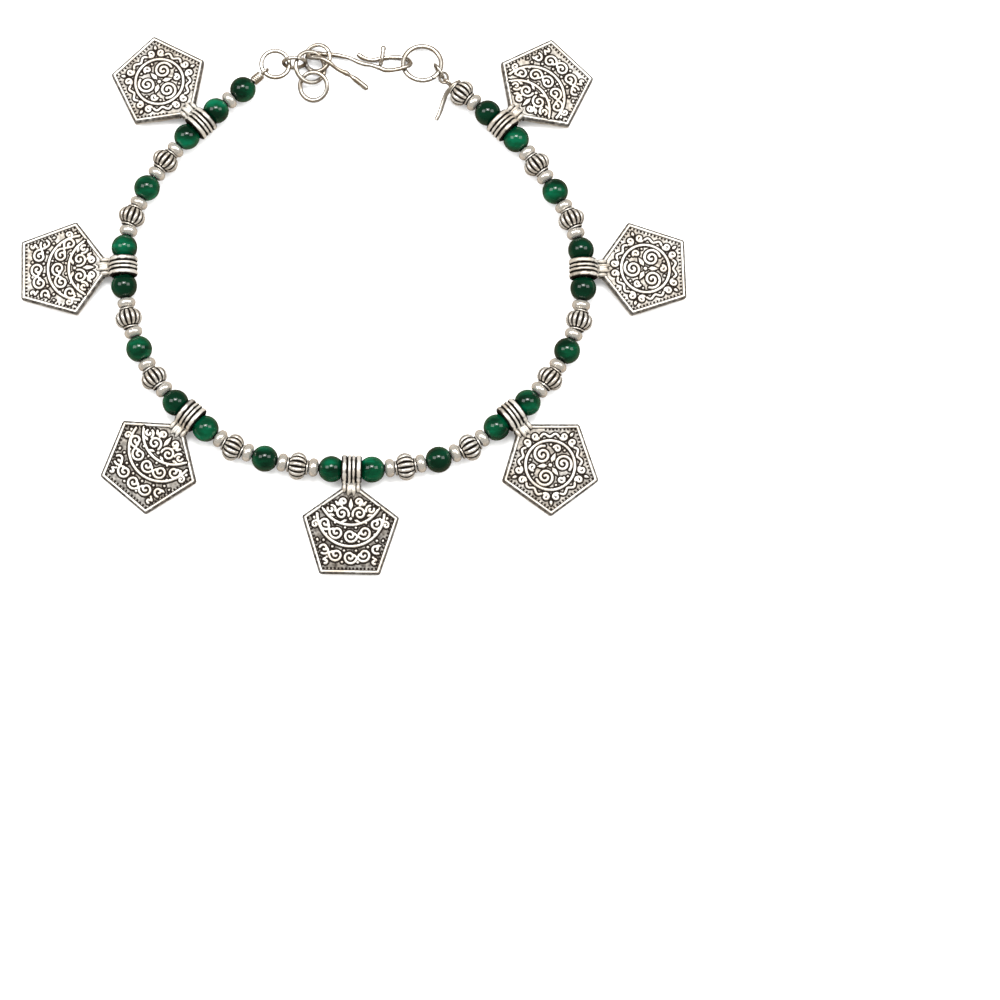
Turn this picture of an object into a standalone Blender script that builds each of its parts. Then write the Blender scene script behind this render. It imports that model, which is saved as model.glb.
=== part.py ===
"""Payal anklet: a closed string of green stone and silver beads with seven
pentagonal silver pendants, a ring chain and a wire hook clasp, lying flat.

Metres, +Z up, +Y away from the wearer's front, with the clasp at the far side.
"""
import math

import bmesh
import bpy
from mathutils import Matrix, Vector

MM = 0.001

# Green stone beads
GREEN_DIAMETER = 5.1 * MM
GREEN_HOLE = 1.1 * MM

# Small round silver beads, flattened at the ends of the hole
SILVER_DIAMETER = 3.2 * MM
SILVER_LENGTH = 1.7 * MM
SILVER_END_DIAMETER = 1.8 * MM
SILVER_END_BEVEL = 0.08 * MM
SILVER_FLAT = 0.36 * MM

# Ribbed melon beads with a collar at each end
MELON_DIAMETER = 5.5 * MM
MELON_LENGTH = 4.2 * MM
MELON_BAND_LENGTH = 1.53 * MM
MELON_RIBS = 14
MELON_RIB_DEPTH = 0.3 * MM
MELON_COLLAR_DIAMETER = 3.0 * MM
MELON_COLLAR_LENGTH = 0.4 * MM
MELON_HOLE = 1.1 * MM

# Pendant: ribbed bail, neck and pentagonal plate in one casting
BAIL_DIAMETER = 5.9 * MM
BAIL_BORE = 4.2 * MM
BAIL_WIDE_RIB = 1.2 * MM
BAIL_NARROW_RIB = 0.8 * MM
BAIL_GROOVE_DEPTH = 0.35 * MM
PLATE_RADIUS = 9.9 * MM
PLATE_THICKNESS = 1.8 * MM
PLATE_EDGE_BEVEL = 0.3 * MM
PENDANT_REACH = 12.65 * MM
RIM_WIDTH = 0.55 * MM
RELIEF_HEIGHT = 0.25 * MM
RELIEF_STROKE = 0.55 * MM
NECK_LENGTH = 3.2 * MM
NECK_WIDTH = 3.7 * MM
NECK_HEIGHT = 2.9 * MM
NECK_BITE = 0.5 * MM
PLATE_SIDES = 5

# Raised arcs on some plates: half width, height of the ends and of the middle
INNER_ARC = (5.5 * MM, 4.8 * MM, 1.5 * MM)
OUTER_ARC = (6.6 * MM, 3.7 * MM, -2.7 * MM)
MEDALLION_RADIUS = 4.9 * MM

# Stringing wire, its wrapped end and its eyes
STRING_WIRE = 0.45 * MM
BEAD_GAP = 0.2 * MM
SEAT_GAP = 0.35 * MM
END_WRAP_DIAMETER = 2.0 * MM
END_WRAP_TURNS = 4
END_WRAP_WIRE = 0.6 * MM
SHORT_WRAP_DIAMETER = 1.3 * MM
SHORT_WRAP_LENGTH = 0.8 * MM
EYE_RADIUS = 0.95 * MM
TAIL_WIRE = 0.72 * MM
TAIL_THIN = 0.6

# Clasp
HOOK_WIRE = 0.85 * MM
HOOK_BALL = 1.15 * MM
HOOK_TIE_WIRE = 0.7 * MM
LINK_CLEARANCE = 0.2 * MM

# Facets
BEAD_SIDES = 12
BEAD_BANDS = 5
BAIL_SIDES = 10
NECK_SIDES = 8
NECK_BANDS = 5
BALL_SIDES = 8
BALL_BANDS = 5
WRAP_SIDES = 8
RING_POINTS = 14
SMALL_LINK_POINTS = 12
SMALL_LINKS = ("small_link", "oval_link")
ARC_SPANS = 7
RELIEF_RESOLUTION = 0
LINK_RESOLUTION = 1
STRING_RESOLUTION = 3
WELD_DISTANCE = 0.001 * MM
SEAM_DISTANCE = 0.01 * MM
SHARP_ANGLE = math.radians(40)

# Colours and finish
SILVER_COLOUR = (0.72, 0.68, 0.62)
SILVER_ROUGHNESS = 0.28
GREEN_COLOUR = (0.0, 0.12, 0.05)
GREEN_ROUGHNESS = 0.12

# Route of the string in plan: the first green bead, then pendants and melon
# beads in order, in millimetres; the front pendant is near the middle.
STRING_ROUTE = [
    ("melon", -22.9, 42.5), ("pendant", -31.6, 35.0), ("melon", -38.8, 26.9),
    ("melon", -45.3, 15.0), ("pendant", -46.3, 4.5), ("melon", -44.8, -6.4),
    ("melon", -39.3, -18.1), ("pendant", -32.0, -25.1), ("melon", -24.6, -30.9),
    ("melon", -12.2, -34.6), ("pendant", -1.9, -35.4), ("melon", 8.7, -35.0),
    ("melon", 20.9, -31.8), ("pendant", 29.1, -25.6), ("melon", 36.7, -19.1),
    ("melon", 43.5, -7.6), ("pendant", 45.1, 3.4), ("melon", 43.6, 13.8),
    ("melon", 36.8, 25.8), ("pendant", 29.6, 34.7), ("melon", 21.2, 41.7),
]

# Order of the beads: G green, S small silver, M melon, P pendant
BEAD_ORDER = (
    "GSGPG SMSGSMSG PG SMSGSMSG PG SMSGSMSG PG SMSGSMSG PG SMSGSMSG PG SMSGSMSG PG SM"
).replace(" ", "")

# Faces of the pendants, in the order of the string
PENDANT_FACES = ["medallion", "arcs", "arcs", "arcs", "medallion", "medallion", "arcs"]

# Rings, each hung from the one before it. Step bearing and slack place it in plan;
# height is its centre's; bearing, pitch and roll turn it. Degrees and millimetres.
RING_COLUMNS = (
    "name", "hangs_from", "wire", "half_length", "half_width",
    "step_bearing", "slack", "height", "bearing", "pitch", "roll",
)
RING_TABLE = [
    ("end_ring", "left_eye", 0.86, 2.84, 2.84, 39.3, None, 2.38, 0.0, -4.5, -1.1),
    ("upright_link", "end_ring", 0.68, 2.24, 2.24, 4.0, 0.2, 2.51, 0.0, 0.0, 82.0),
    ("centre_ring", "upright_link", 0.80, 3.20, 3.20, -14.0, 1.19, 2.12, 0.0, -25.1, 5.0),
    ("spare_ring", "centre_ring", 0.86, 2.84, 2.84, -80.1, 1.0, 1.67, 0.0, 14.6, 17.1),
    ("hook_ring", "centre_ring", 0.80, 2.75, 2.75, 55.6, 2.37, 1.49, 0.0, 22.1, 4.8),
    ("small_link", "right_eye", 0.50, 1.60, 0.85, 121.4, 0.43, 1.94, -83.8, 31.3, 8.8),
    ("oval_link", "small_link", 0.55, 1.60, 1.30, 121.4, 0.64, 1.58, -57.3, -1.7, 90.6),
    ("large_ring", "oval_link", 0.92, 3.87, 3.87, 155.3, 0.78, 1.71, 0.0, -0.5, -8.4),
]

# Hook wire from the ball tip round both bends to the cut end. Share runs from
# the hook ring's centre (0) to the large ring's (1); the rest is an offset
# from there and a height, in millimetres.
HOOK_ROUTE = [
    (0.0, 9.87, -5.99, 0.60), (0.0, 7.57, -4.29, 1.19), (0.0, 5.97, -3.39, 1.80),
    (0.0, 4.07, -2.69, 2.57), (0.0, 2.57, -1.69, 3.35), (0.0, 1.27, -0.79, 3.40),
    (0.0, -0.03, -0.29, 2.71), (0.0, -1.23, -0.09, 2.01), (0.0, -1.73, 0.41, 1.51),
    (0.0, -1.23, 0.96, 1.06), (0.0, -0.03, 1.21, 0.77), (0.0, 1.37, 1.16, 0.50),
    (0.0, 4.07, 0.81, 0.78), (0.313, 0.0, 0.45, 1.09), (0.424, 0.0, -0.60, 1.46),
    (0.540, 0.0, -1.14, 1.81), (0.652, 0.0, -1.98, 2.07), (1.0, -5.40, -1.60, 2.51),
    (1.0, -3.70, -1.30, 3.09), (1.0, -2.40, -0.30, 2.14), (1.0, -2.90, 1.10, 0.61),
    (1.0, -4.30, 1.60, 0.47), (1.0, -6.00, 1.70, 0.45), (1.0, -7.80, 1.50, 0.46),
    (1.0, -10.10, 1.10, 0.48), (1.0, -11.90, 1.50, 0.49), (1.0, -13.20, 2.40, 0.51),
]
# Short tie across the closed bend, offsets from the large ring's centre
HOOK_TIE_ROUTE = [(-7.90, 3.45, 0.95), (-8.05, 2.40, 1.05), (-8.25, 0.90, 1.15), (-8.55, -0.45, 1.80)]
# Loose tail of the stringing wire, offsets from the string's right end
TAIL_ROUTE = [
    (-0.50, 0.35, 2.75), (-1.30, -0.55, 2.35), (-1.90, -2.10, 1.50),
    (-2.65, -4.80, 0.75), (-3.50, -6.30, 0.42),
]
ROUTE_STEPS = 24
HOOK_STEPS = 2
TAIL_STEPS = 2


def clear_scene():
    """Remove every object, so the model starts from nothing."""
    for obj in list(bpy.data.objects):
        bpy.data.objects.remove(obj, do_unlink=True)


def make_material(name, colour, roughness, metallic):
    """One Principled material with plain values."""
    material = bpy.data.materials.new(name)
    material.use_nodes = True
    shader = material.node_tree.nodes["Principled BSDF"]
    shader.inputs["Base Color"].default_value = (*colour, 1.0)
    shader.inputs["Roughness"].default_value = roughness
    shader.inputs["Metallic"].default_value = metallic
    return material


def link_object(name, data, collection):
    """A new object in a collection."""
    obj = bpy.data.objects.new(name, data)
    collection.objects.link(obj)
    return obj


def evaluated_mesh(obj, name):
    """The object's mesh with its modifiers or bevel made real, welded; the object goes."""
    depsgraph = bpy.context.evaluated_depsgraph_get()
    mesh = bpy.data.meshes.new_from_object(obj.evaluated_get(depsgraph), depsgraph=depsgraph)
    mesh.name = name
    bpy.data.objects.remove(obj, do_unlink=True)
    work = bmesh.new()
    work.from_mesh(mesh)
    bmesh.ops.remove_doubles(work, verts=work.verts, dist=WELD_DISTANCE)
    work.to_mesh(mesh)
    work.free()
    return mesh


def turned_mesh(name, profile, sides, workshop):
    """A closed outline of (radius, height) points turned about Z."""
    mesh = bpy.data.meshes.new(name)
    count = len(profile)
    edges = [(index, (index + 1) % count) for index in range(count)]
    mesh.from_pydata([(radius, 0.0, height) for radius, height in profile], edges, [])
    obj = link_object(name, mesh, workshop)
    screw = obj.modifiers.new("turn", "SCREW")
    screw.axis = "Z"
    screw.steps = sides
    screw.render_steps = sides
    screw.use_merge_vertices = True
    screw.merge_threshold = SEAM_DISTANCE
    return evaluated_mesh(obj, name)


def tube_mesh(name, points, wire, workshop, cyclic=False, shares=None, resolution=LINK_RESOLUTION):
    """A round wire along the points; shares thins it point by point."""
    curve = bpy.data.curves.new(name, "CURVE")
    curve.dimensions = "3D"
    curve.bevel_depth = wire / 2
    curve.bevel_resolution = resolution
    curve.use_fill_caps = True
    spline = curve.splines.new("POLY")
    spline.points.add(len(points) - 1)
    for index, point in enumerate(points):
        spline.points[index].co = (*point, 1.0)
        spline.points[index].radius = shares[index] if shares else 1.0
    spline.use_cyclic_u = cyclic
    obj = link_object(name, curve, workshop)
    return evaluated_mesh(obj, name)


def joined_mesh(name, base, others, workshop, operation="UNION"):
    """The base mesh with the others joined to it or cut from it."""
    obj = link_object(name, base, workshop)
    cutters = []
    for index, other in enumerate(others):
        cutter = link_object(f"{name}_cutter_{index}", other, workshop)
        cutter.hide_render = True
        cutter.display_type = "WIRE"
        boolean = obj.modifiers.new("join", "BOOLEAN")
        boolean.operation = operation
        boolean.object = cutter
        cutters.append(cutter)
    mesh = evaluated_mesh(obj, name)
    for cutter in cutters:
        bpy.data.objects.remove(cutter, do_unlink=True)
    return mesh


def shade(mesh, material):
    """Smooth shading with sharp edges kept, and the piece's material."""
    mesh.materials.clear()
    mesh.materials.append(material)
    mesh.shade_smooth()
    mesh.set_sharp_from_angle(angle=SHARP_ANGLE)


def transformed(mesh, matrix):
    """The mesh moved by a matrix, in place."""
    mesh.transform(matrix)
    return mesh


def smooth_route(points, steps):
    """Points of a smooth curve through the given ones, end to end."""
    first = points[0] * 2 - points[1]
    last = points[-1] * 2 - points[-2]
    padded = [first, *points, last]
    route = []
    for index in range(1, len(padded) - 2):
        before, start, end, after = padded[index - 1:index + 3]
        for step in range(steps):
            t = step / steps
            bend = start * 2 + (end - before) * t
            bend += (before * 2 - start * 5 + end * 4 - after) * t ** 2
            bend += (start * 3 - before - end * 3 + after) * t ** 3
            route.append(bend / 2)
    route.append(points[-1].copy())
    return route


class Route:
    """A smooth curve read by the length along it, straight beyond its ends."""

    def __init__(self, points):
        self.points = points
        self.lengths = [0.0]
        for start, end in zip(points, points[1:]):
            self.lengths.append(self.lengths[-1] + (end - start).length)
        self.total = self.lengths[-1]

    def at(self, length):
        """The point at this length along the curve."""
        index = 0
        while index < len(self.points) - 2 and self.lengths[index + 1] < length:
            index += 1
        start, end = self.points[index], self.points[index + 1]
        share = (length - self.lengths[index]) / (self.lengths[index + 1] - self.lengths[index])
        return start + (end - start) * share


def bail_length():
    """Length of the bail: two wide and two narrow ribs."""
    return 2 * (BAIL_WIDE_RIB + BAIL_NARROW_RIB)


def green_half_length():
    """From the green bead's middle to the flat round its hole."""
    return math.sqrt((GREEN_DIAMETER / 2) ** 2 - (GREEN_HOLE / 2) ** 2)


def half_lengths():
    """Half of the string that each kind of bead takes up.

    A green bead sits in the mouth of a bail's bore, so a bail takes up less
    than its own length.
    """
    seat_radius = GREEN_DIAMETER / 2 + SEAT_GAP
    seat = bail_length() / 2 + math.sqrt(seat_radius ** 2 - (BAIL_BORE / 2) ** 2)
    return {
        "G": green_half_length(),
        "S": SILVER_LENGTH / 2,
        "M": MELON_LENGTH / 2,
        "P": seat - green_half_length() - BEAD_GAP,
    }


def string_layout():
    """Joints between the beads along the route: one more than there are beads.

    The route keeps its shape and grows or shrinks with the beads' lengths.
    """
    halves = half_lengths()
    spans = [2 * halves[kind] + BEAD_GAP for kind in BEAD_ORDER]
    needed = sum(spans) - (spans[0] + spans[-1]) / 2
    heights = {"pendant": BAIL_DIAMETER / 2, "melon": MELON_DIAMETER / 2}
    plan = [Vector((x, y, 0.0)) * MM for _, x, y in STRING_ROUTE]
    plan_length = Route(smooth_route(plan, ROUTE_STEPS)).total
    grown = needed / plan_length
    points = [
        Vector((x * MM * grown, y * MM * grown, heights[carrier]))
        for carrier, x, y in STRING_ROUTE
    ]
    route = Route(smooth_route(points, ROUTE_STEPS))
    position = -spans[0] / 2
    joints = [route.at(position)]
    for span in spans:
        position += span
        joints.append(route.at(position))
    return joints


def along(direction, centre):
    """A frame at the centre whose Z runs along the direction."""
    turn = direction.to_track_quat("Z", "Y")
    return Matrix.Translation(centre) @ turn.to_matrix().to_4x4()


def arc_points(radius, start, end, count):
    """(radius, height) points of an arc about the origin, angles from the Z axis."""
    return [
        (radius * math.sin(angle), radius * math.cos(angle))
        for angle in (start + (end - start) * step / count for step in range(count + 1))
    ]


def green_bead_mesh(workshop):
    """A drilled ball."""
    rim = math.asin(GREEN_HOLE / GREEN_DIAMETER)
    outer = arc_points(GREEN_DIAMETER / 2, rim, math.pi - rim, BEAD_BANDS)
    return turned_mesh("green_bead", outer, BEAD_SIDES, workshop)


def melon_bead_mesh(workshop):
    """A drilled, ribbed body between two plain collars.

    The bead is turned with two columns of points to a rib; every second
    column is a groove on the body, and is welded away on the plain parts.
    """
    half = MELON_LENGTH / 2
    body_half = half - MELON_COLLAR_LENGTH
    collar = MELON_COLLAR_DIAMETER / 2
    band_half = MELON_BAND_LENGTH / 2
    hole = MELON_HOLE / 2
    profile = [
        (collar, half), (collar, body_half), (MELON_DIAMETER / 2, band_half),
        (MELON_DIAMETER / 2, -band_half), (collar, -body_half), (collar, -half),
        (hole, -half), (hole, half),
    ]
    columns = 2 * MELON_RIBS
    mesh = turned_mesh("melon_bead", profile, columns, workshop)
    work = bmesh.new()
    work.from_mesh(mesh)
    by_place = {}
    for vert in work.verts:
        column = round(math.atan2(vert.co.y, vert.co.x) / math.tau * columns) % columns
        row = (round(math.hypot(vert.co.x, vert.co.y), 6), round(vert.co.z, 6))
        by_place[column, row] = vert
    merged = {}
    for (column, row), vert in by_place.items():
        if column % 2 == 0:
            continue
        if row[0] > collar + MELON_RIB_DEPTH:
            inward = Vector((vert.co.x, vert.co.y, 0.0)).normalized()
            vert.co -= inward * MELON_RIB_DEPTH
        else:
            merged[vert] = by_place[column - 1, row]
    bmesh.ops.weld_verts(work, targetmap=merged)
    work.to_mesh(mesh)
    work.free()
    return mesh


def close_core(mesh, core):
    """Close a thin bore: its ring of points at each end becomes one point."""
    work = bmesh.new()
    work.from_mesh(mesh)
    inner = [vert for vert in work.verts if math.hypot(vert.co.x, vert.co.y) < core + SEAM_DISTANCE]
    walls = [face for face in work.faces if all(vert in inner for vert in face.verts)]
    bmesh.ops.delete(work, geom=walls, context="FACES_ONLY")
    for end in (1, -1):
        ring = [vert for vert in inner if vert.is_valid and vert.co.z * end > 0]
        middle = Vector((0.0, 0.0, ring[0].co.z))
        bmesh.ops.pointmerge(work, verts=ring, merge_co=middle)
    loose = [edge for edge in work.edges if not edge.link_faces]
    bmesh.ops.delete(work, geom=loose, context="EDGES")
    bmesh.ops.recalc_face_normals(work, faces=work.faces)
    work.to_mesh(mesh)
    work.free()


def bail_mesh(workshop):
    """The ribbed tube that the string runs through, along Y."""
    radius = BAIL_DIAMETER / 2
    groove = radius - BAIL_GROOVE_DEPTH
    half = bail_length() / 2
    crest_inner = BAIL_NARROW_RIB / 2
    crest_outer = BAIL_NARROW_RIB + BAIL_WIDE_RIB / 2
    upper = [
        (groove, half), (radius, crest_outer), (groove, BAIL_NARROW_RIB),
        (radius, crest_inner),
    ]
    lower = [(ring, -height) for ring, height in reversed(upper)]
    bore = BAIL_BORE / 2
    profile = [*upper, (groove, 0.0), *lower, (bore, -half), (bore, half)]
    mesh = turned_mesh("bail", profile, BAIL_SIDES, workshop)
    return transformed(mesh, Matrix.Rotation(math.radians(90), 4, "X"))


def plate_mesh():
    """A pentagonal plate with one corner towards the bail and a raised rim."""
    work = bmesh.new()
    bmesh.ops.create_cone(
        work, cap_ends=True, segments=PLATE_SIDES, radius1=PLATE_RADIUS,
        radius2=PLATE_RADIUS, depth=PLATE_THICKNESS,
    )
    corner = max(work.verts, key=lambda vert: (round(vert.co.y, 6), vert.co.z))
    lead = math.atan2(corner.co.y, corner.co.x)
    bmesh.ops.rotate(
        work, verts=work.verts, cent=(0.0, 0.0, 0.0),
        matrix=Matrix.Rotation(math.pi - lead, 3, "Z"),
    )
    level = [edge for edge in work.edges if abs(edge.verts[0].co.z - edge.verts[1].co.z) < 0.1 * MM]
    bmesh.ops.bevel(
        work, geom=level, offset=PLATE_EDGE_BEVEL, segments=1, affect="EDGES", profile=0.5,
    )
    face = max(work.faces, key=lambda item: item.calc_center_median().z)
    bmesh.ops.inset_region(work, faces=[face], thickness=RIM_WIDTH)
    face = max(work.faces, key=lambda item: (round(item.calc_center_median().z, 6), item.calc_area()))
    bmesh.ops.inset_region(work, faces=[face], thickness=RELIEF_HEIGHT / 2, depth=-RELIEF_HEIGHT)
    mesh = bpy.data.meshes.new("plate")
    work.to_mesh(mesh)
    work.free()
    return transformed(mesh, Matrix.Translation((PENDANT_REACH, 0.0, 0.0)))


def neck_mesh():
    """The cast blob that joins the bail to the plate."""
    work = bmesh.new()
    bmesh.ops.create_uvsphere(work, u_segments=NECK_SIDES, v_segments=NECK_BANDS, radius=0.5)
    inner_end = BAIL_DIAMETER / 2 - NECK_BITE
    middle = inner_end + NECK_LENGTH / 2
    bmesh.ops.scale(work, verts=work.verts, vec=(NECK_LENGTH, NECK_WIDTH, NECK_HEIGHT))
    bmesh.ops.translate(work, verts=work.verts, vec=(middle, 0.0, 0.0))
    mesh = bpy.data.meshes.new("neck")
    work.to_mesh(mesh)
    work.free()
    return mesh


def relief_meshes(face, workshop):
    """Raised strokes of one face: two sagging arcs, or a round medallion."""
    level = PLATE_THICKNESS / 2 - RELIEF_HEIGHT
    strokes = []
    if face == "medallion":
        count = RING_POINTS
        points = [
            (PENDANT_REACH + MEDALLION_RADIUS * math.cos(math.tau * step / count),
             MEDALLION_RADIUS * math.sin(math.tau * step / count), level)
            for step in range(count)
        ]
        strokes.append(tube_mesh(
            "ring_stroke", points, RELIEF_STROKE, workshop, cyclic=True,
            resolution=RELIEF_RESOLUTION,
        ))
        return strokes
    for half_width, end_height, low_height in (INNER_ARC, OUTER_ARC):
        sag = end_height - low_height
        radius = (half_width ** 2 + sag ** 2) / (2 * sag)
        reach = math.asin(half_width / radius)
        if sag > radius:
            reach = math.pi - reach
        centre = low_height + radius
        points = []
        for step in range(ARC_SPANS + 1):
            angle = -reach + 2 * reach * step / ARC_SPANS
            towards_bail = centre - radius * math.cos(angle)
            points.append((PENDANT_REACH - towards_bail, radius * math.sin(angle), level))
        strokes.append(tube_mesh(
            "arc_stroke", points, RELIEF_STROKE, workshop, resolution=RELIEF_RESOLUTION,
        ))
    return strokes


def pendant_mesh(face, workshop):
    """One whole casting, with the bail about Y and the plate out along X."""
    others = [bail_mesh(workshop), neck_mesh(), *relief_meshes(face, workshop)]
    return joined_mesh(f"pendant_{face}", plate_mesh(), others, workshop)


def pendant_tilt():
    """How far a pendant leans for its outer edge to touch what it lies on."""
    reach = PENDANT_REACH + PLATE_RADIUS * math.cos(math.pi / PLATE_SIDES)
    half = PLATE_THICKNESS / 2
    drop = BAIL_DIAMETER / 2
    edge = PLATE_EDGE_BEVEL
    lean = math.asin(drop / math.hypot(reach, half - edge))
    upper = lean - math.atan2(half - edge, reach)
    lean = math.asin(drop / math.hypot(reach - edge, half))
    return min(upper, lean - math.atan2(half, reach - edge))


def pendant_frame(start, end):
    """Where a pendant hangs: its bail along the string, its plate outwards and leaning down."""
    direction = (end - start).normalized()
    outwards = Vector((direction.y, -direction.x, 0.0)).normalized()
    centre = (start + end) / 2
    if outwards.dot(centre) < 0:
        outwards.negate()
    upwards = Vector((0.0, 0.0, 1.0))
    sideways = upwards.cross(outwards)
    turn = Matrix((outwards, sideways, upwards)).transposed().to_4x4()
    lean = Matrix.Rotation(pendant_tilt(), 4, "Y")
    return Matrix.Translation(centre) @ turn @ lean


def upright_eye_mesh(name, centre, direction, workshop):
    """A round eye standing upright, in line with the string."""
    count = SMALL_LINK_POINTS
    level = Vector((direction.x, direction.y, 0.0)).normalized()
    points = [
        centre + level * (EYE_RADIUS * math.cos(math.tau * step / count))
        + Vector((0.0, 0.0, EYE_RADIUS * math.sin(math.tau * step / count)))
        for step in range(count)
    ]
    return tube_mesh(name, points, STRING_WIRE, workshop, cyclic=True)


def end_wrap_mesh(workshop):
    """The close turns of wire at the left end, from Z = 0 up."""
    crest = END_WRAP_DIAMETER / 2
    root = crest - END_WRAP_WIRE / 4
    core = STRING_WIRE / 8
    profile = [(core, END_WRAP_TURNS * END_WRAP_WIRE)]
    for turn in reversed(range(END_WRAP_TURNS)):
        profile.append((root, (turn + 1) * END_WRAP_WIRE))
        profile.append((crest, (turn + 0.5) * END_WRAP_WIRE))
    profile += [(root, 0.0), (core, 0.0)]
    lift = END_WRAP_TURNS * END_WRAP_WIRE / 2
    profile = [(radius, height - lift) for radius, height in profile]
    mesh = turned_mesh("end_wrap", profile, WRAP_SIDES, workshop)
    close_core(mesh, core)
    return transformed(mesh, Matrix.Translation((0.0, 0.0, lift)))


def short_wrap_mesh():
    """The few turns of wire at the right end, from Z = 0 up."""
    work = bmesh.new()
    bmesh.ops.create_cone(
        work, cap_ends=True, segments=WRAP_SIDES, radius1=SHORT_WRAP_DIAMETER / 2,
        radius2=SHORT_WRAP_DIAMETER / 2, depth=SHORT_WRAP_LENGTH,
    )
    mesh = bpy.data.meshes.new("short_wrap")
    work.to_mesh(mesh)
    work.free()
    return transformed(mesh, Matrix.Translation((0.0, 0.0, SHORT_WRAP_LENGTH / 2)))


def string_ends(joints):
    """The left and right ends of the string: joint, direction outwards, eye centre."""
    left_out = (joints[0] - joints[1]).normalized()
    right_out = (joints[-1] - joints[-2]).normalized()
    wrap = END_WRAP_TURNS * END_WRAP_WIRE
    bite = STRING_WIRE / 2
    left_eye = joints[0] + left_out * (wrap + EYE_RADIUS - bite)
    right_eye = joints[-1] + right_out * (SHORT_WRAP_LENGTH + EYE_RADIUS - bite)
    return {"left": (joints[0], left_out, left_eye), "right": (joints[-1], right_out, right_eye)}


def strung_wire(joints, ends):
    """Points and thicknesses of the wire, which swells into each small silver bead."""
    left_joint, left_out, _ = ends["left"]
    right_joint, right_out, _ = ends["right"]
    points = [left_joint + left_out * (END_WRAP_TURNS * END_WRAP_WIRE / 2), left_joint]
    wires = [STRING_WIRE, STRING_WIRE]
    half = SILVER_LENGTH / 2
    swelling = [
        (-half, STRING_WIRE), (-half + SILVER_END_BEVEL, SILVER_END_DIAMETER),
        (-SILVER_FLAT, SILVER_DIAMETER), (SILVER_FLAT, SILVER_DIAMETER),
        (half - SILVER_END_BEVEL, SILVER_END_DIAMETER), (half, STRING_WIRE),
    ]
    for index, kind in enumerate(BEAD_ORDER):
        start, end = joints[index], joints[index + 1]
        if kind == "S":
            direction = (end - start).normalized()
            for offset, wire in swelling:
                points.append((start + end) / 2 + direction * offset)
                wires.append(wire)
        elif kind == "P":
            points.append((start + end) / 2)
            wires.append(STRING_WIRE)
    points.append(right_joint)
    points.append(right_joint + right_out * (SHORT_WRAP_LENGTH / 2))
    wires += [STRING_WIRE, STRING_WIRE]
    return points, wires


def tail_mesh(right_joint, workshop):
    """The loose tail of the wire, thickest before its flattened tip."""
    points = []
    for x, y, height in TAIL_ROUTE:
        point = right_joint + Vector((x, y, 0.0)) * MM
        point.z = height * MM
        points.append(point)
    points = smooth_route(points, TAIL_STEPS)
    last = len(points) - 1
    shares = [TAIL_THIN + (1 - TAIL_THIN) * math.sin(math.pi * step / last) for step in range(last + 1)]
    return tube_mesh("tail", points, TAIL_WIRE, workshop, shares=shares)


def bead_string_mesh(joints, ends, workshop):
    """The wire with the small silver beads on it, its wraps, eyes and tail."""
    left_joint, left_out, left_eye = ends["left"]
    right_joint, right_out, right_eye = ends["right"]
    points, wires = strung_wire(joints, ends)
    shares = [wire / SILVER_DIAMETER for wire in wires]
    string = tube_mesh(
        "wire", points, SILVER_DIAMETER, workshop, shares=shares, resolution=STRING_RESOLUTION,
    )
    others = [
        transformed(end_wrap_mesh(workshop), along(left_out, left_joint)),
        transformed(short_wrap_mesh(), along(right_out, right_joint)),
        upright_eye_mesh("left_eye", left_eye, left_out, workshop),
        upright_eye_mesh("right_eye", right_eye, right_out, workshop),
        tail_mesh(right_joint, workshop),
    ]
    return joined_mesh("bead_string", string, others, workshop)


def ring_layout(ends):
    """Centre, frame and sizes of every ring, worked out from the string's ends."""
    eye = {"centre": None, "reach": EYE_RADIUS, "wire": STRING_WIRE}
    rings = {
        "left_eye": {**eye, "centre": ends["left"][2]},
        "right_eye": {**eye, "centre": ends["right"][2]},
    }
    for values in RING_TABLE:
        row = dict(zip(RING_COLUMNS, values))
        holder = rings[row["hangs_from"]]
        wire = row["wire"] * MM
        half_length = row["half_length"] * MM
        distance = half_length
        if row["slack"] is not None:
            bite = (wire + holder["wire"]) / 2 + LINK_CLEARANCE + row["slack"] * MM
            distance = holder["reach"] + half_length - bite
        step = math.radians(row["step_bearing"])
        centre = holder["centre"] + Vector((math.cos(step), math.sin(step), 0.0)) * distance
        centre.z = row["height"] * MM
        turn = Matrix.Rotation(math.radians(row["bearing"]), 4, "Z")
        turn @= Matrix.Rotation(math.radians(-row["pitch"]), 4, "Y")
        turn @= Matrix.Rotation(math.radians(row["roll"]), 4, "X")
        rings[row["name"]] = {
            "centre": centre, "reach": half_length, "width": row["half_width"] * MM,
            "wire": wire, "frame": Matrix.Translation(centre) @ turn,
        }
    return rings


def ring_mesh(name, ring, workshop):
    """A closed round or oval ring of wire, about the origin."""
    count = SMALL_LINK_POINTS if name in SMALL_LINKS else RING_POINTS
    points = [
        (ring["reach"] * math.cos(math.tau * step / count),
         ring["width"] * math.sin(math.tau * step / count), 0.0)
        for step in range(count)
    ]
    return tube_mesh(name, points, ring["wire"], workshop, cyclic=True)


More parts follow.
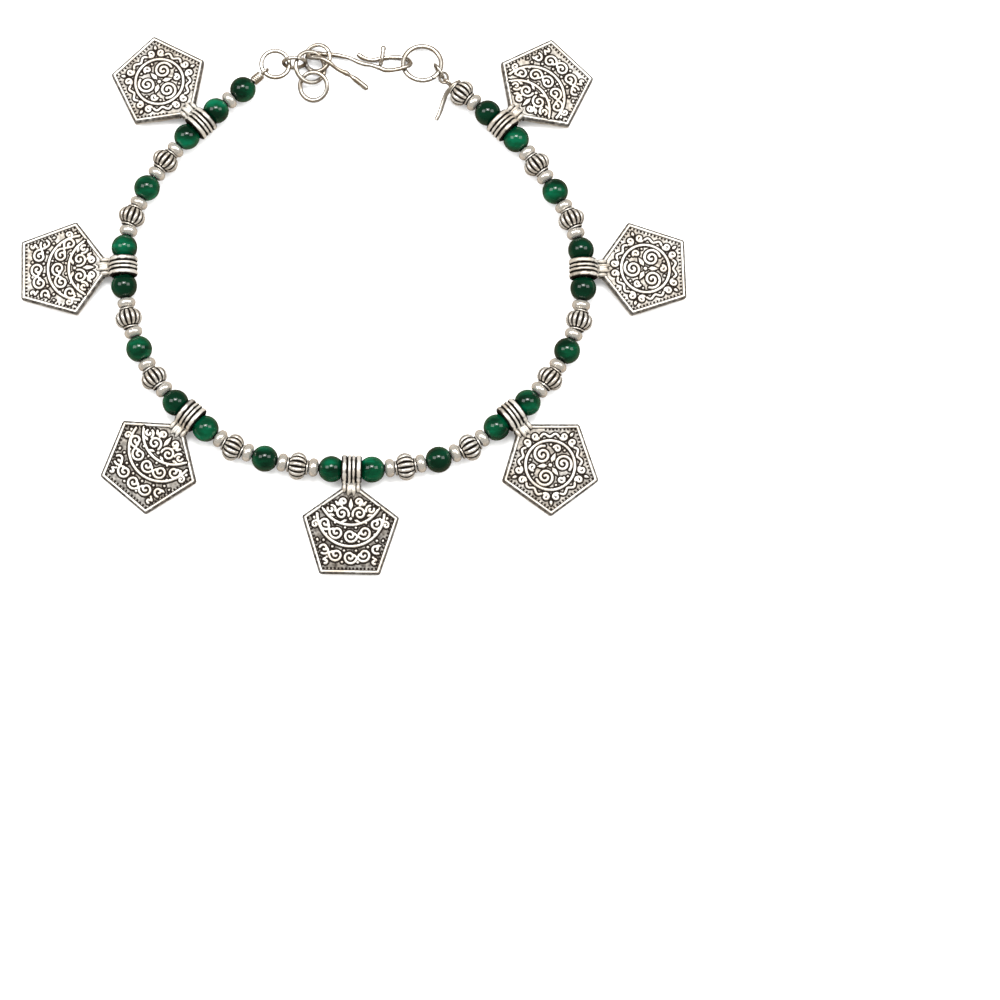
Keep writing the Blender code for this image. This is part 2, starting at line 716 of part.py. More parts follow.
def hook_mesh(rings, workshop):
    """The bent hook wire with its ball tip and the tie across its closed bend."""
    left = rings["hook_ring"]["centre"]
    right = rings["large_ring"]["centre"]
    points = []
    for share, x, y, height in HOOK_ROUTE:
        point = left.lerp(right, share) + Vector((x, y, 0.0)) * MM
        point.z = height * MM
        points.append(point)
    wire = tube_mesh("hook_wire", smooth_route(points, HOOK_STEPS), HOOK_WIRE, workshop)
    ball_work = bmesh.new()
    bmesh.ops.create_uvsphere(
        ball_work, u_segments=BALL_SIDES, v_segments=BALL_BANDS, radius=HOOK_BALL / 2,
    )
    bmesh.ops.translate(ball_work, verts=ball_work.verts, vec=points[0])
    ball = bpy.data.meshes.new("hook_ball")
    ball_work.to_mesh(ball)
    ball_work.free()
    tie_points = []
    for x, y, height in HOOK_TIE_ROUTE:
        point = right + Vector((x, y, 0.0)) * MM
        point.z = height * MM
        tie_points.append(point)
    tie = tube_mesh("hook_tie", tie_points, HOOK_TIE_WIRE, workshop)
    return joined_mesh("s_hook", wire, [ball, tie], workshop)


def centre_on_floor(carrier, parts):
    """Move everything so that the middle of its box is over the origin, on Z = 0."""
    bpy.context.view_layer.update()
    corners = [part.matrix_world @ vert.co for part in parts for vert in part.data.vertices]
    low = Vector(min(corner[axis] for corner in corners) for axis in range(3))
    high = Vector(max(corner[axis] for corner in corners) for axis in range(3))
    carrier.location = (-(low.x + high.x) / 2, -(low.y + high.y) / 2, -low.z)


def build():
    """Make every piece of the anklet."""
    clear_scene()
    scene = bpy.context.scene
    collection = bpy.data.collections.new("payal_anklet")
    scene.collection.children.link(collection)
    workshop = bpy.data.collections.new("cutters")
    scene.collection.children.link(workshop)
    silver = make_material("silver", SILVER_COLOUR, SILVER_ROUGHNESS, 1.0)
    green = make_material("green_stone", GREEN_COLOUR, GREEN_ROUGHNESS, 0.0)

    joints = string_layout()
    ends = string_ends(joints)
    rings = ring_layout(ends)
    meshes = {
        "G": green_bead_mesh(workshop),
        "M": melon_bead_mesh(workshop),
        "medallion": pendant_mesh("medallion", workshop),
        "arcs": pendant_mesh("arcs", workshop),
    }
    shade(meshes["G"], green)
    for kind in ("M", "medallion", "arcs"):
        shade(meshes[kind], silver)

    carrier = link_object("payal_anklet", None, collection)
    parts = []

    def add(name, mesh, frame):
        part = link_object(name, mesh, collection)
        part.parent = carrier
        part.matrix_basis = frame
        parts.append(part)

    counts = {"G": 0, "M": 0, "P": 0}
    for index, kind in enumerate(BEAD_ORDER):
        if kind == "S":
            continue
        start, end = joints[index], joints[index + 1]
        counts[kind] += 1
        number = counts[kind]
        if kind == "P":
            add(f"pendant_{number}", meshes[PENDANT_FACES[number - 1]], pendant_frame(start, end))
            continue
        word = "green_bead" if kind == "G" else "melon_bead"
        add(f"{word}_{number:02d}", meshes[kind], along(end - start, (start + end) / 2))

    string = bead_string_mesh(joints, ends, workshop)
    shade(string, silver)
    add("bead_string", string, Matrix.Identity(4))
    for row in RING_TABLE:
        name = row[0]
        mesh = ring_mesh(name, rings[name], workshop)
        shade(mesh, silver)
        add(name, mesh, rings[name]["frame"])
    hook = hook_mesh(rings, workshop)
    shade(hook, silver)
    add("s_hook", hook, Matrix.Identity(4))
    centre_on_floor(carrier, parts)


build()
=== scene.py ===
"""Payal anklet: the fine shapes and finishes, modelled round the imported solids.

Metres, +Z up from the surface that the anklet lies on, +Y towards the clasp. Each
piece is modelled at its own size and ends with its place in its mesh.
"""

import math

import bmesh
import bpy
import numpy as np
from bpy.props import FloatProperty, FloatVectorProperty, IntProperty, PointerProperty
from mathutils import Matrix, Vector, noise


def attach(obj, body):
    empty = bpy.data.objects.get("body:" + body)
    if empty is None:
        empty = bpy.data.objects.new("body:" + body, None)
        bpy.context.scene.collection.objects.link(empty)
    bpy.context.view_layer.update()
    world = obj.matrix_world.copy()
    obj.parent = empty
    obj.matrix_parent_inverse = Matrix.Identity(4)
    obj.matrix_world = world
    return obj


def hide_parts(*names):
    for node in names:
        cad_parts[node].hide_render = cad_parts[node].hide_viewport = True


bl_info = {
    "name": "Payal anklet",
    "version": (1, 0, 0),
    "blender": (4, 5, 0),
    "location": "View3D > Sidebar > Anklet",
    "description": "Green stone and silver beads, cast pendants and a wire clasp",
    "category": "Object",
}

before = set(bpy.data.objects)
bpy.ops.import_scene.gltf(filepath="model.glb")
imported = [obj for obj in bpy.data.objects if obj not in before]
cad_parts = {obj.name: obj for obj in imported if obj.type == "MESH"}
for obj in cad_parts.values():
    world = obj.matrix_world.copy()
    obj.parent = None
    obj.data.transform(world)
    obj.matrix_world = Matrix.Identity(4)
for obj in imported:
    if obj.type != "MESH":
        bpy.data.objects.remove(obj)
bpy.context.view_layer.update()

MM = 0.001
BODY = "root"
UP = Vector((0.0, 0.0, 1.0))

# Things on the string: G green bead, S small silver bead, M melon bead, P pendant
BEAD_ORDER = (
    "GSGPG SMSGSMSG PG SMSGSMSG PG SMSGSMSG PG SMSGSMSG PG SMSGSMSG PG SMSGSMSG PG SM"
).replace(" ", "")
BEAD_GAP = 0.2 * MM
# Half the length that a small bead's solid takes on the string
SMALL_BEAD_HALF = 0.85 * MM
# Face of each pendant, and how dark the field of its face is: tarnish in the hollow field, set darker on
# some pendants as painted shade
PENDANTS = [
    ("medallion", 0.50), ("arcs", 0.48), ("arcs", 0.60), ("arcs", 0.64),
    ("medallion", 0.53), ("medallion", 0.48), ("arcs", 0.48),
]

# Ends of the string: bearing and slope of the wire as it leaves, in degrees
LEFT_END = (40.35, -1.05)
RIGHT_END = (140.82, -1.16)

# Rings: wire, half length and half width in millimetres, and the bearing of the cut
RING_COLUMNS = ("wire", "half_length", "half_width", "cut_bearing")
RINGS = {
    "end_ring": (0.92, 2.84, 2.84, 200.0),
    "upright_link": (0.74, 2.24, 2.24, 75.0),
    "centre_ring": (0.86, 3.20, 3.20, -38.0),
    "spare_ring": (0.92, 2.84, 2.84, 150.0),
    "hook_ring": (0.86, 2.75, 2.75, 20.0),
    "small_link": (0.50, 1.60, 0.85, None),
    "oval_link": (0.55, 1.60, 1.30, None),
    "large_ring": (0.98, 3.87, 3.87, -60.0),
}

# Hook wire from the ball tip round both bends to the cut end. Share runs from the
# hook ring's centre (0) to the large ring's (1); the rest is an offset and a height.
HOOK_ROUTE = [
    (0.0, 9.87, -5.99, 0.60), (0.0, 7.57, -4.29, 1.19), (0.0, 5.97, -3.39, 1.80),
    (0.0, 4.07, -2.69, 2.57), (0.0, 2.57, -1.69, 3.35), (0.0, 1.27, -0.79, 3.40),
    (0.0, -0.03, -0.29, 2.71), (0.0, -1.23, -0.09, 2.01), (0.0, -1.73, 0.41, 1.51),
    (0.0, -1.23, 0.96, 1.06), (0.0, -0.03, 1.21, 0.77), (0.0, 1.37, 1.16, 0.50),
    (0.0, 4.07, 0.81, 0.78), (0.313, 0.0, 0.45, 1.09), (0.424, 0.0, -0.60, 1.46),
    (0.540, 0.0, -1.14, 1.81), (0.652, 0.0, -1.98, 2.07), (1.0, -5.40, -1.60, 2.51),
    (1.0, -3.70, -1.30, 3.09), (1.0, -2.40, -0.30, 2.14), (1.0, -2.90, 1.10, 0.61),
    (1.0, -4.30, 1.60, 0.47), (1.0, -6.00, 1.70, 0.45), (1.0, -7.80, 1.50, 0.46),
    (1.0, -10.10, 1.10, 0.48), (1.0, -11.90, 1.50, 0.49), (1.0, -13.20, 2.40, 0.51),
]
HOOK_TIE_ROUTE = [(-7.90, 3.45, 0.95), (-8.05, 2.40, 1.05), (-8.25, 0.90, 1.15), (-8.55, -0.45, 1.80)]
TAIL_ROUTE = [
    (1.25, 1.10, 3.00), (0.30, 0.35, 3.75), (-0.60, -0.50, 3.20), (-1.40, -1.30, 2.20),
    (-2.00, -2.60, 1.45), (-2.75, -4.80, 0.78), (-3.50, -6.30, 0.48),
]
# How far the solids stand above the heights of these routes
ROUTE_LIFT = 0.085 * MM

# Raised arcs on some plates: half width, height of the ends and of the middle
INNER_ARC = (5.5, 4.8, 1.5)
OUTER_ARC = (6.6, 3.7, -2.7)

# A plate is a pentagon: the turn from corner to corner, and how far its sides lie from
# its middle as a share of its corners' distance
PLATE_SIDES = 5
CORNER_TURN = 360.0 / PLATE_SIDES
FLAT_SHARE = math.cos(math.radians(CORNER_TURN / 2))

# Fineness of the meshes
TURN_STEPS = 48
BAIL_STEPS = 56
RIB_COLUMNS = 8
RING_STEPS = 160
PLATE_CELL = 0.11 * MM
MERGE = 0.0005 * MM


def length_property(name, description, millimetres):
    """A length that a user can change, given in millimetres."""
    return FloatProperty(
        name=name, description=description, default=millimetres * MM, min=0.01 * MM,
        unit="LENGTH", subtype="DISTANCE", precision=5,
    )


def colour_property(name, description, colour):
    """A colour that a user can change."""
    return FloatVectorProperty(
        name=name, description=description, default=colour, size=3, min=0.0, max=1.0, subtype="COLOR",
    )


class AnkletBeadSizes(bpy.types.PropertyGroup):
    """Sizes of the three kinds of beads."""

    green_diameter: length_property("Green bead", "Diameter of a stone bead", 5.22)
    green_hole: length_property("Green bead hole", "Diameter of its hole", 1.1)
    silver_diameter: length_property("Silver bead", "Diameter of a small silver bead", 3.68)
    silver_length: length_property("Silver bead length", "Its length along the string", 2.04)
    silver_hole: length_property("Silver bead hole", "Diameter of its hole", 0.9)
    melon_diameter: length_property("Melon bead", "Diameter over the ribs", 5.52)
    melon_length: length_property("Melon bead length", "Length over the collars", 4.2)
    melon_hole: length_property("Melon bead hole", "Diameter of its hole", 1.1)
    melon_rib_depth: length_property("Rib depth", "Depth of the grooves between the ribs", 0.50)
    collar_diameter: length_property("Collar", "Diameter of a melon bead's collar", 3.0)
    collar_length: length_property("Collar length", "Length of a melon bead's collar", 0.42)
    melon_ribs: IntProperty(name="Ribs", description="Ribs round a melon bead", default=14, min=6)


class AnkletPendantSizes(bpy.types.PropertyGroup):
    """Sizes of a pendant, all in one casting."""

    bail_diameter: length_property("Bail", "Diameter over its ribs", 5.77)
    bail_bore: length_property("Bail bore", "Diameter of the bore for the string", 4.2)
    wide_rib: length_property("Wide rib", "Width of the outer ribs", 1.2)
    narrow_rib: length_property("Narrow rib", "Width of the middle ribs", 0.8)
    groove_depth: length_property("Groove", "Depth of the grooves between the ribs", 0.42)
    neck_length: length_property("Neck length", "Length of the lobes at the corner", 3.2)
    neck_width: length_property("Neck width", "Width over the lobes", 3.7)
    neck_height: length_property("Neck height", "Height of the middle lobe", 2.9)
    plate_radius: length_property("Plate", "From its middle to a corner", 10.1)
    plate_thickness: length_property("Plate thickness", "Over the rim", 1.8)
    corner_radius: length_property("Corner", "Radius of a rounded corner", 0.55)
    edge_bevel: length_property("Edge", "Width of the worn edge", 0.36)
    rim_width: length_property("Rim", "Width of the bright rim", 0.38)
    reach: length_property("Reach", "From the bail's middle to the plate's", 12.488)
    relief_height: length_property("Relief", "Height of the strokes", 0.25)
    stroke_width: length_property("Stroke", "Width of a raised stroke", 0.54)
    medallion_radius: length_property("Medallion", "Radius of the round frame", 4.9)


class AnkletClaspSizes(bpy.types.PropertyGroup):
    """Wires of the string's ends and of the clasp."""

    string_wire: length_property("String wire", "Diameter of the stringing wire", 0.45)
    eye_radius: length_property("Eye", "Radius of an end's eye", 0.95)
    wrap_wire: length_property("Wrap wire", "Diameter of the wire in the long wrap", 0.58)
    wrap_diameter: length_property("Wrap", "Diameter of the long wrap", 2.0)
    wrap_length: length_property("Wrap length", "Length of the long wrap", 2.54)
    short_wrap_wire: length_property("Short wrap wire", "Diameter of its wire", 0.4)
    short_wrap_diameter: length_property("Short wrap", "Diameter of the short wrap", 1.3)
    short_wrap_length: length_property("Short wrap length", "Length of the short wrap", 0.8)
    tail_wire: length_property("Tail", "Diameter of the loose tail", 0.95)
    hook_wire: length_property("Hook wire", "Diameter of the hook", 0.90)
    hook_ball: length_property("Hook ball", "Diameter of its tip", 1.15)
    tie_wire: length_property("Tie wire", "Diameter of the tie on the hook", 0.82)
    tie_knob: length_property("Tie knob", "Diameter of the tie's melted end", 1.12)


class AnkletColours(bpy.types.PropertyGroup):
    """Colours of the finishes."""

    silver: colour_property("Silver", "Bright worn silver", (0.82, 0.79, 0.735))
    silver_warm: colour_property("Warm silver", "Duller, warmer stretches", (0.60, 0.52, 0.42))
    # Also the colour of painted shade: down wire sides, on plate edges and in darker pendant fields
    tarnish: colour_property("Tarnish", "Dark in the recesses", (0.016, 0.011, 0.008))
    stone_deep: colour_property("Deep green", "Darkest bands of the stone", (0.0, 0.010, 0.004))
    stone: colour_property("Green", "Main colour of the stone", (0.0, 0.042, 0.016))
    stone_light: colour_property("Light green", "Palest bands of the stone", (0.0, 0.110, 0.050))
    floor: colour_property("Floor", "Colour of the floor", (0.93, 0.93, 0.93))


class AnkletStage(bpy.types.PropertyGroup):
    """Camera and lights."""

    target: FloatVectorProperty(
        name="Target", description="Point that the camera looks at", size=3,
        default=(0.635 * MM, 0.937 * MM, 2.722 * MM), unit="LENGTH", subtype="TRANSLATION",
    )
    elevation: FloatProperty(
        name="Elevation", description="Height of the camera over the floor", unit="ROTATION",
        subtype="ANGLE", default=math.radians(76.0),
    )
    distance: length_property("Distance", "From the camera to the target", 650.0)
    view_width: length_property("View width", "Width of the view at the target", 200.0)
    floor_size: length_property("Floor", "Side of the floor", 4000.0)


def sizes(context):
    """The property groups: beads, pendants, clasp, colours and stage."""
    scene = context.scene
    return (
        scene.anklet_beads, scene.anklet_pendants, scene.anklet_clasp,
        scene.anklet_colours, scene.anklet_stage,
    )


# Places read from the solids

def numbers(items, key, width=3):
    """One value of each item, such as every point's place, as the rows of an array."""
    values = np.empty(len(items) * width)
    items.foreach_get(key, values)
    return values.reshape(-1, width)


def node_points(node):
    """Distinct corner points of a solid."""
    return np.unique(numbers(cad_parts[node].data.vertices, "co").round(7), axis=0)


def middle(node):
    """Middle of a solid's corner points."""
    return Vector(node_points(node).mean(axis=0))


def heading(bearing, slope):
    """Unit vector from a bearing and a slope in degrees."""
    level = math.cos(math.radians(slope))
    turn = math.radians(bearing)
    return Vector((level * math.cos(turn), level * math.sin(turn), math.sin(math.radians(slope))))


def frame_at(centre, x_axis, y_axis, z_axis):
    """A matrix from three axes and a place."""
    return Matrix.Translation(centre) @ Matrix((x_axis, y_axis, z_axis)).transposed().to_4x4()


def along(direction, centre):
    """A matrix whose Z runs along the direction, at the centre."""
    return Matrix.Translation(centre) @ direction.to_track_quat("Z", "Y").to_matrix().to_4x4()


def pendant_place(node, pendant):
    """Where a pendant hangs, from its solid's flat back: bail along Y, plate out along X."""
    parallel = 0.9999
    level_gap = 0.02 * MM
    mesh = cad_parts[node].data
    downward = [face for face in mesh.polygons if face.normal.z < 0]
    widest = max(downward, key=lambda face: face.area)
    level = widest.center.dot(widest.normal)
    back = [
        face for face in downward
        if face.normal.dot(widest.normal) > parallel
        and abs(face.center.dot(widest.normal) - level) < level_gap
    ]
    area = sum(face.area for face in back)
    centre = sum((face.center * face.area for face in back), Vector()) / area
    upwards = -widest.normal
    outwards = Vector((upwards.x, upwards.y, 0.0)).normalized()
    sideways = UP.cross(outwards)
    lengthways = sideways.cross(upwards).normalized()
    far_edge = max(vert.co.dot(lengthways) for vert in mesh.vertices)
    far_reach = pendant.reach + pendant.plate_radius * FLAT_SHARE
    origin = centre + upwards * (pendant.plate_thickness / 2)
    origin += lengthways * (far_edge - far_reach - origin.dot(lengthways))
    return frame_at(origin, lengthways, sideways, upwards)


def ring_place(node):
    """Middle and axes of a ring: X along its longest way, Z square to it."""
    points = node_points(node)
    centre = points.mean(axis=0)
    _, axes = np.linalg.eigh(np.cov((points - centre).T))
    long_way = Vector(axes[:, 2])
    square = Vector(axes[:, 0])
    if square.z < 0:
        square.negate()
    return Vector(centre), long_way, square


def level_ring_place(node):
    """A round ring's matrix, its X level and towards +X, so that bearings have a start."""
    centre, _, square = ring_place(node)
    lies_down = abs(square.z) > 0.3
    side = Vector((0.0, 1.0, 0.0)) if lies_down else UP
    x_axis = side.cross(square).normalized()
    return frame_at(centre, x_axis, square.cross(x_axis), square)


def green_reach(beads):
    """From a green bead's middle to the edge of its hole, along the string."""
    return math.sqrt((beads.green_diameter / 2) ** 2 - (beads.green_hole / 2) ** 2)


def strung_things(beads, pendants):
    """Kind, number, node, centre and matrix of each thing on the string, in order."""
    nodes = {"G": "green_bead_{:02d}", "M": "melon_bead_{:02d}", "P": "pendant_{}", "S": "bead_string"}
    counts = dict.fromkeys(nodes, 0)
    things = []
    for kind in BEAD_ORDER:
        counts[kind] += 1
        thing = {"kind": kind, "number": counts[kind], "node": nodes[kind].format(counts[kind])}
        if kind == "P":
            thing["place"] = pendant_place(thing["node"], pendants)
            thing["centre"] = thing["place"].translation
        elif kind != "S":
            thing["centre"] = middle(thing["node"])
        things.append(thing)
    halves = {"G": green_reach(beads), "M": beads.melon_length / 2}
    for before, thing, after in zip(things, things[1:], things[2:]):
        if thing["kind"] == "S":
            near = halves[before["kind"]] + BEAD_GAP + SMALL_BEAD_HALF
            far = halves[after["kind"]] + BEAD_GAP + SMALL_BEAD_HALF
            thing["centre"] = before["centre"].lerp(after["centre"], near / (near + far))
    last = len(things) - 1
    for index, thing in enumerate(things):
        if thing["kind"] == "P":
            continue
        if index == 0:
            direction = -heading(*LEFT_END)
        elif index == last:
            direction = heading(*RIGHT_END)
        else:
            direction = (things[index + 1]["centre"] - things[index - 1]["centre"]).normalized()
        thing["place"] = along(direction, thing["centre"])
    return things


# Modelling by hand

def activate(piece):
    """Select this piece alone."""
    bpy.ops.object.select_all(action="DESELECT")
    piece.select_set(True)
    bpy.context.view_layer.objects.active = piece


def named(piece, name):
    """Give a piece and its data one name."""
    piece.name = name
    piece.data.name = name
    return piece


def new_object(name, add, **values):
    """Add an object with one of Blender's operators, with nothing else selected."""
    bpy.ops.object.select_all(action="DESELECT")
    add(**values)
    return named(bpy.context.object, name)


def apply_modifier(piece, kind, **values):
    """Put a modifier with these settings on the piece, and apply it."""
    activate(piece)
    modifier = piece.modifiers.new(kind.lower(), kind)
    for key, value in values.items():
        setattr(modifier, key, value)
    bpy.ops.object.modifier_apply(modifier=modifier.name)


def edit(piece):
    """Open a piece in edit mode with nothing selected."""
    activate(piece)
    bpy.ops.object.mode_set(mode="EDIT")
    bpy.ops.mesh.select_mode(type="VERT")
    bpy.ops.mesh.select_all(action="DESELECT")


def pick(piece, test):
    """Select only the points that pass the test, in edit mode."""
    work = bmesh.from_edit_mesh(piece.data)
    for vert in work.verts:
        vert.select_set(bool(test(vert.co)))
    work.select_flush_mode()
    bmesh.update_edit_mesh(piece.data)


def tidy_surface():
    """Merge doubles and turn every face outwards, then leave edit mode."""
    bpy.ops.mesh.select_all(action="SELECT")
    bpy.ops.mesh.remove_doubles(threshold=MERGE)
    bpy.ops.mesh.normals_make_consistent(inside=False)
    bpy.ops.object.mode_set(mode="OBJECT")


def turned_piece(name, profile, steps):
    """An outline of (radius, height) points, drawn point by point and spun about Z."""
    piece = new_object(name, bpy.ops.mesh.primitive_plane_add, size=MM, location=(0.0, 0.0, 0.0))
    bpy.ops.object.mode_set(mode="EDIT")
    bpy.ops.mesh.select_mode(type="VERT")
    bpy.ops.mesh.select_all(action="SELECT")
    bpy.ops.mesh.merge(type="CENTER")
    radius, height = profile[0]
    bpy.ops.transform.translate(value=(radius, 0.0, height))
    for next_radius, next_height in profile[1:]:
        step = (next_radius - radius, 0.0, next_height - height)
        bpy.ops.mesh.extrude_vertices_move(TRANSFORM_OT_translate={"value": step})
        radius, height = next_radius, next_height
    first, last = Vector((profile[0][0], 0.0, profile[0][1])), Vector((radius, 0.0, height))
    pick(piece, lambda place: min((place - first).length, (place - last).length) < MERGE)
    bpy.ops.mesh.edge_face_add()
    bpy.ops.mesh.select_all(action="SELECT")
    bpy.ops.mesh.spin(steps=steps, angle=math.tau, center=(0.0, 0.0, 0.0), axis=(0.0, 0.0, 1.0))
    tidy_surface()
    return piece


def round_piece(name, radius, centre, scale):
    """A ball added at its size and place, then stretched."""
    piece = new_object(
        name, bpy.ops.mesh.primitive_uv_sphere_add, segments=32, ring_count=16, radius=radius,
        location=centre, scale=scale,
    )
    bpy.ops.object.transform_apply(location=True, rotation=True, scale=True)
    return piece


def wire_piece(name, points, thicknesses, closed=False, fineness=4):
    """A round wire along the points, made a mesh with its ends closed."""
    curve = bpy.data.curves.new(name, "CURVE")
    curve.dimensions = "3D"
    curve.bevel_depth = 0.5
    curve.bevel_resolution = fineness
    curve.use_fill_caps = not closed
    spline = curve.splines.new("POLY")
    spline.points.add(len(points) - 1)
    for point, place, thickness in zip(spline.points, points, thicknesses):
        point.co = (*place, 1.0)
        point.radius = thickness
    spline.use_cyclic_u = closed
    piece = bpy.data.objects.new(name, curve)
    bpy.context.scene.collection.objects.link(piece)
    activate(piece)
    bpy.ops.object.convert(target="MESH")
    piece = bpy.context.object
    edit(piece)
    tidy_surface()
    return piece


def smooth_route(points, steps):
    """Points of a smooth curve through the given ones, end to end."""
    first = points[0] * 2 - points[1]
    last = points[-1] * 2 - points[-2]
    padded = [first, *points, last]
    route = []
    for index in range(1, len(padded) - 2):
        before, start, end, after = padded[index - 1:index + 3]
        for step in range(steps):
            t = step / steps
            bend = start * 2 + (end - before) * t
            bend += (before * 2 - start * 5 + end * 4 - after) * t ** 2
            bend += (start * 3 - before - end * 3 + after) * t ** 3
            route.append(bend / 2)
    route.append(points[-1].copy())
    return route


def roughen(piece, strength, size):
    """Uneven the surface a little, as casting and hammering leave it."""
    texture = bpy.data.textures.new(f"{piece.name}_unevenness", "CLOUDS")
    texture.noise_scale = size
    texture.noise_depth = 1
    apply_modifier(
        piece, "DISPLACE", texture=texture, texture_coords="GLOBAL", strength=strength, mid_level=0.5,
    )


def unite(piece, others):
    """Join other closed pieces to this one into one skin."""
    for other in others:
        apply_modifier(piece, "BOOLEAN", operation="UNION", solver="EXACT", object=other)
        bpy.data.objects.remove(other, do_unlink=True)


def paint(piece, values, name="patina_and_shade"):
    """Keep a value from 0 to 1 at each point of the piece."""
    layer = piece.data.attributes.get(name) or piece.data.attributes.new(name, "FLOAT", "POINT")
    layer.data.foreach_set("value", np.clip(values, 0.0, 1.0).astype(np.float32))


def coordinates(piece):
    """The piece's points as an array."""
    return numbers(piece.data.vertices, "co")


def off_axis(points):
    """How far each point lies from the Z axis."""
    return np.hypot(points[:, 0], points[:, 1])


def wire_tarnish_and_side_shade(piece, start):
    """Tarnish on a wire, little on top where it is rubbed, with painted shade darkening it down its sides.
    """
    facing_up = np.clip(numbers(piece.data.vertices, "normal")[:, 2], 0.0, 1.0)
    return start + 0.60 * (1.0 - facing_up) ** 1.3


def smoothstep(values, low, high):
    """0 below low, 1 above high, smooth between; it falls where high is under low."""
    share = np.clip((values - low) / (high - low), 0.0, 1.0)
    return share * share * (3.0 - 2.0 * share)


def smooth_shading(piece, angle=50.0):
    """Smooth faces, with sharp edges kept."""
    activate(piece)
    bpy.ops.object.shade_smooth_by_angle(angle=math.radians(angle))


def finish(piece, material, slot, *nodes):
    """Give a placed piece its material, its body and the solids that it stands for."""
    piece.data.materials.clear()
    piece.data.materials.append(material)
    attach(piece, BODY)
    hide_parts(*nodes)


def placed_copy(model, name, place):
    """A copy of the model with a mesh of its own, its place in the mesh."""
    twin = model.copy()
    twin.data = model.data.copy()
    named(twin, name)
    bpy.context.scene.collection.objects.link(twin)
    twin.data.transform(place)
    return twin


# Materials

def feed(tree, socket, value):
    """Link a socket to another one, or set its plain value."""
    if isinstance(value, bpy.types.NodeSocket):
        tree.links.new(value, socket)
    else:
        socket.default_value = value


def add_node(tree, kind, label, **values):
    """A node with its settings and its inputs, each a socket or a plain value."""
    node = tree.nodes.new(kind)
    node.label = label
    for key, value in values.items():
        if key in node.inputs:
            feed(tree, node.inputs[key], value)
        else:
            setattr(node, key, value)
    return node


def add_mix(tree, label, factor, first, second):
    """A colour mix; each part is a socket or a value."""
    node = add_node(tree, "ShaderNodeMix", label, data_type="RGBA")
    for index, value in ((0, factor), (6, first), (7, second)):
        feed(tree, node.inputs[index], value)
    return node.outputs[2]


def add_math(tree, label, operation, first, second=0.0, third=0.0):
    """A sum on sockets or values."""
    node = add_node(tree, "ShaderNodeMath", label, operation=operation)
    for socket, value in zip(node.inputs, (first, second, third)):
        feed(tree, socket, value)
    return node.outputs[0]


def add_range(tree, label, value, from_low, from_high, to_low, to_high):
    """A smooth change of range."""
    node = add_node(
        tree, "ShaderNodeMapRange", label, interpolation_type="SMOOTHSTEP", Value=value,
        **{"From Min": from_low, "From Max": from_high, "To Min": to_low, "To Max": to_high},
    )
    return node.outputs["Result"]


def add_noise(tree, label, place, scale, detail=2.0, stretch=None):
    """A noise on the piece's own place; scale is a socket or lumps a metre."""
    if stretch:
        mapping = add_node(tree, "ShaderNodeMapping", f"{label} stretch", Vector=place, Scale=stretch)
        place = mapping.outputs["Vector"]
    node = add_node(tree, "ShaderNodeTexNoise", label, Vector=place, Scale=scale, Detail=detail)
    return node.outputs["Fac"]


def new_group(name, inputs):
    """A shader node group that gives a colour, a roughness and a height, and its two ends."""
    kinds = {type(None): "NodeSocketVector", float: "NodeSocketFloat", tuple: "NodeSocketColor"}
    tree = bpy.data.node_groups.new(name, "ShaderNodeTree")
    for socket, default in inputs.items():
        item = tree.interface.new_socket(socket, in_out="INPUT", socket_type=kinds[type(default)])
        if default is not None:
            item.default_value = default
    for socket, kind in (("Colour", tuple), ("Roughness", float), ("Height", float)):
        tree.interface.new_socket(socket, in_out="OUTPUT", socket_type=kinds[kind])
    entry = tree.nodes.new("NodeGroupInput")
    leave = tree.nodes.new("NodeGroupOutput")
    return tree, entry.outputs, leave.inputs


def silver_finish_group():
    """Worn silver: bright where it is rubbed, dark where the recesses hold tarnish and where shade is
    painted in.
    """
    tree, given, out = new_group("silver_finish", {
        "Place": None, "Recess": 0.0,
        "Silver": (0.86, 0.83, 0.78, 1.0), "Warm Silver": (0.70, 0.64, 0.55, 1.0),
        "Tarnish": (0.02, 0.015, 0.01, 1.0), "Clouding": 0.5, "Speckle": 0.3,
        "Smooth Roughness": 0.24, "Tarnish Roughness": 0.6, "Lump Scale": 900.0,
    })
    place = given["Place"]
    clouds = add_noise(tree, "clouds", place, 260.0, 3.0)
    lumps = add_noise(tree, "cast lumps", place, given["Lump Scale"], 2.0)
    grains = add_noise(tree, "fine grain", place, 4200.0, 2.0)
    scratches = add_noise(tree, "rubbing", place, 900.0, 2.0, stretch=(1.0, 9.0, 3.0))
    cloud_share = add_range(tree, "cloud share", clouds, 0.38, 0.66, 0.0, given["Clouding"])
    metal = add_mix(tree, "clouded silver", cloud_share, given["Silver"], given["Warm Silver"])
    speckle = add_range(tree, "speckle mask", grains, 0.58, 0.78, 0.0, given["Speckle"])
    ragged = add_math(tree, "ragged edge", "MULTIPLY_ADD", lumps, 0.5, -0.25)
    edge = add_math(tree, "recess edge", "ADD", given["Recess"], ragged)
    weighed = add_math(tree, "only in recesses", "MULTIPLY", edge, add_range(
        tree, "any recess", given["Recess"], 0.0, 0.25, 0.0, 1.0))
    dark = add_range(tree, "dark mask", weighed, 0.12, 0.85, 0.0, 1.0)
    dark = add_math(tree, "with speckle", "MAXIMUM", dark, speckle)
    colour = add_mix(tree, "tarnish and painted shade on silver", dark, metal, given["Tarnish"])
    tree.links.new(colour, out["Colour"])
    rough = add_range(
        tree, "roughness", dark, 0.0, 1.0, given["Smooth Roughness"], given["Tarnish Roughness"],
    )
    worn = add_math(tree, "rubbed roughness", "MULTIPLY_ADD", scratches, 0.16, -0.08)
    tree.links.new(add_math(tree, "uneven roughness", "ADD", rough, worn), out["Roughness"])
    height = add_math(tree, "lumps and grain", "MULTIPLY_ADD", grains, 0.35, lumps)
    tree.links.new(add_math(tree, "with rubbing", "MULTIPLY_ADD", scratches, 0.3, height), out["Height"])
    return tree


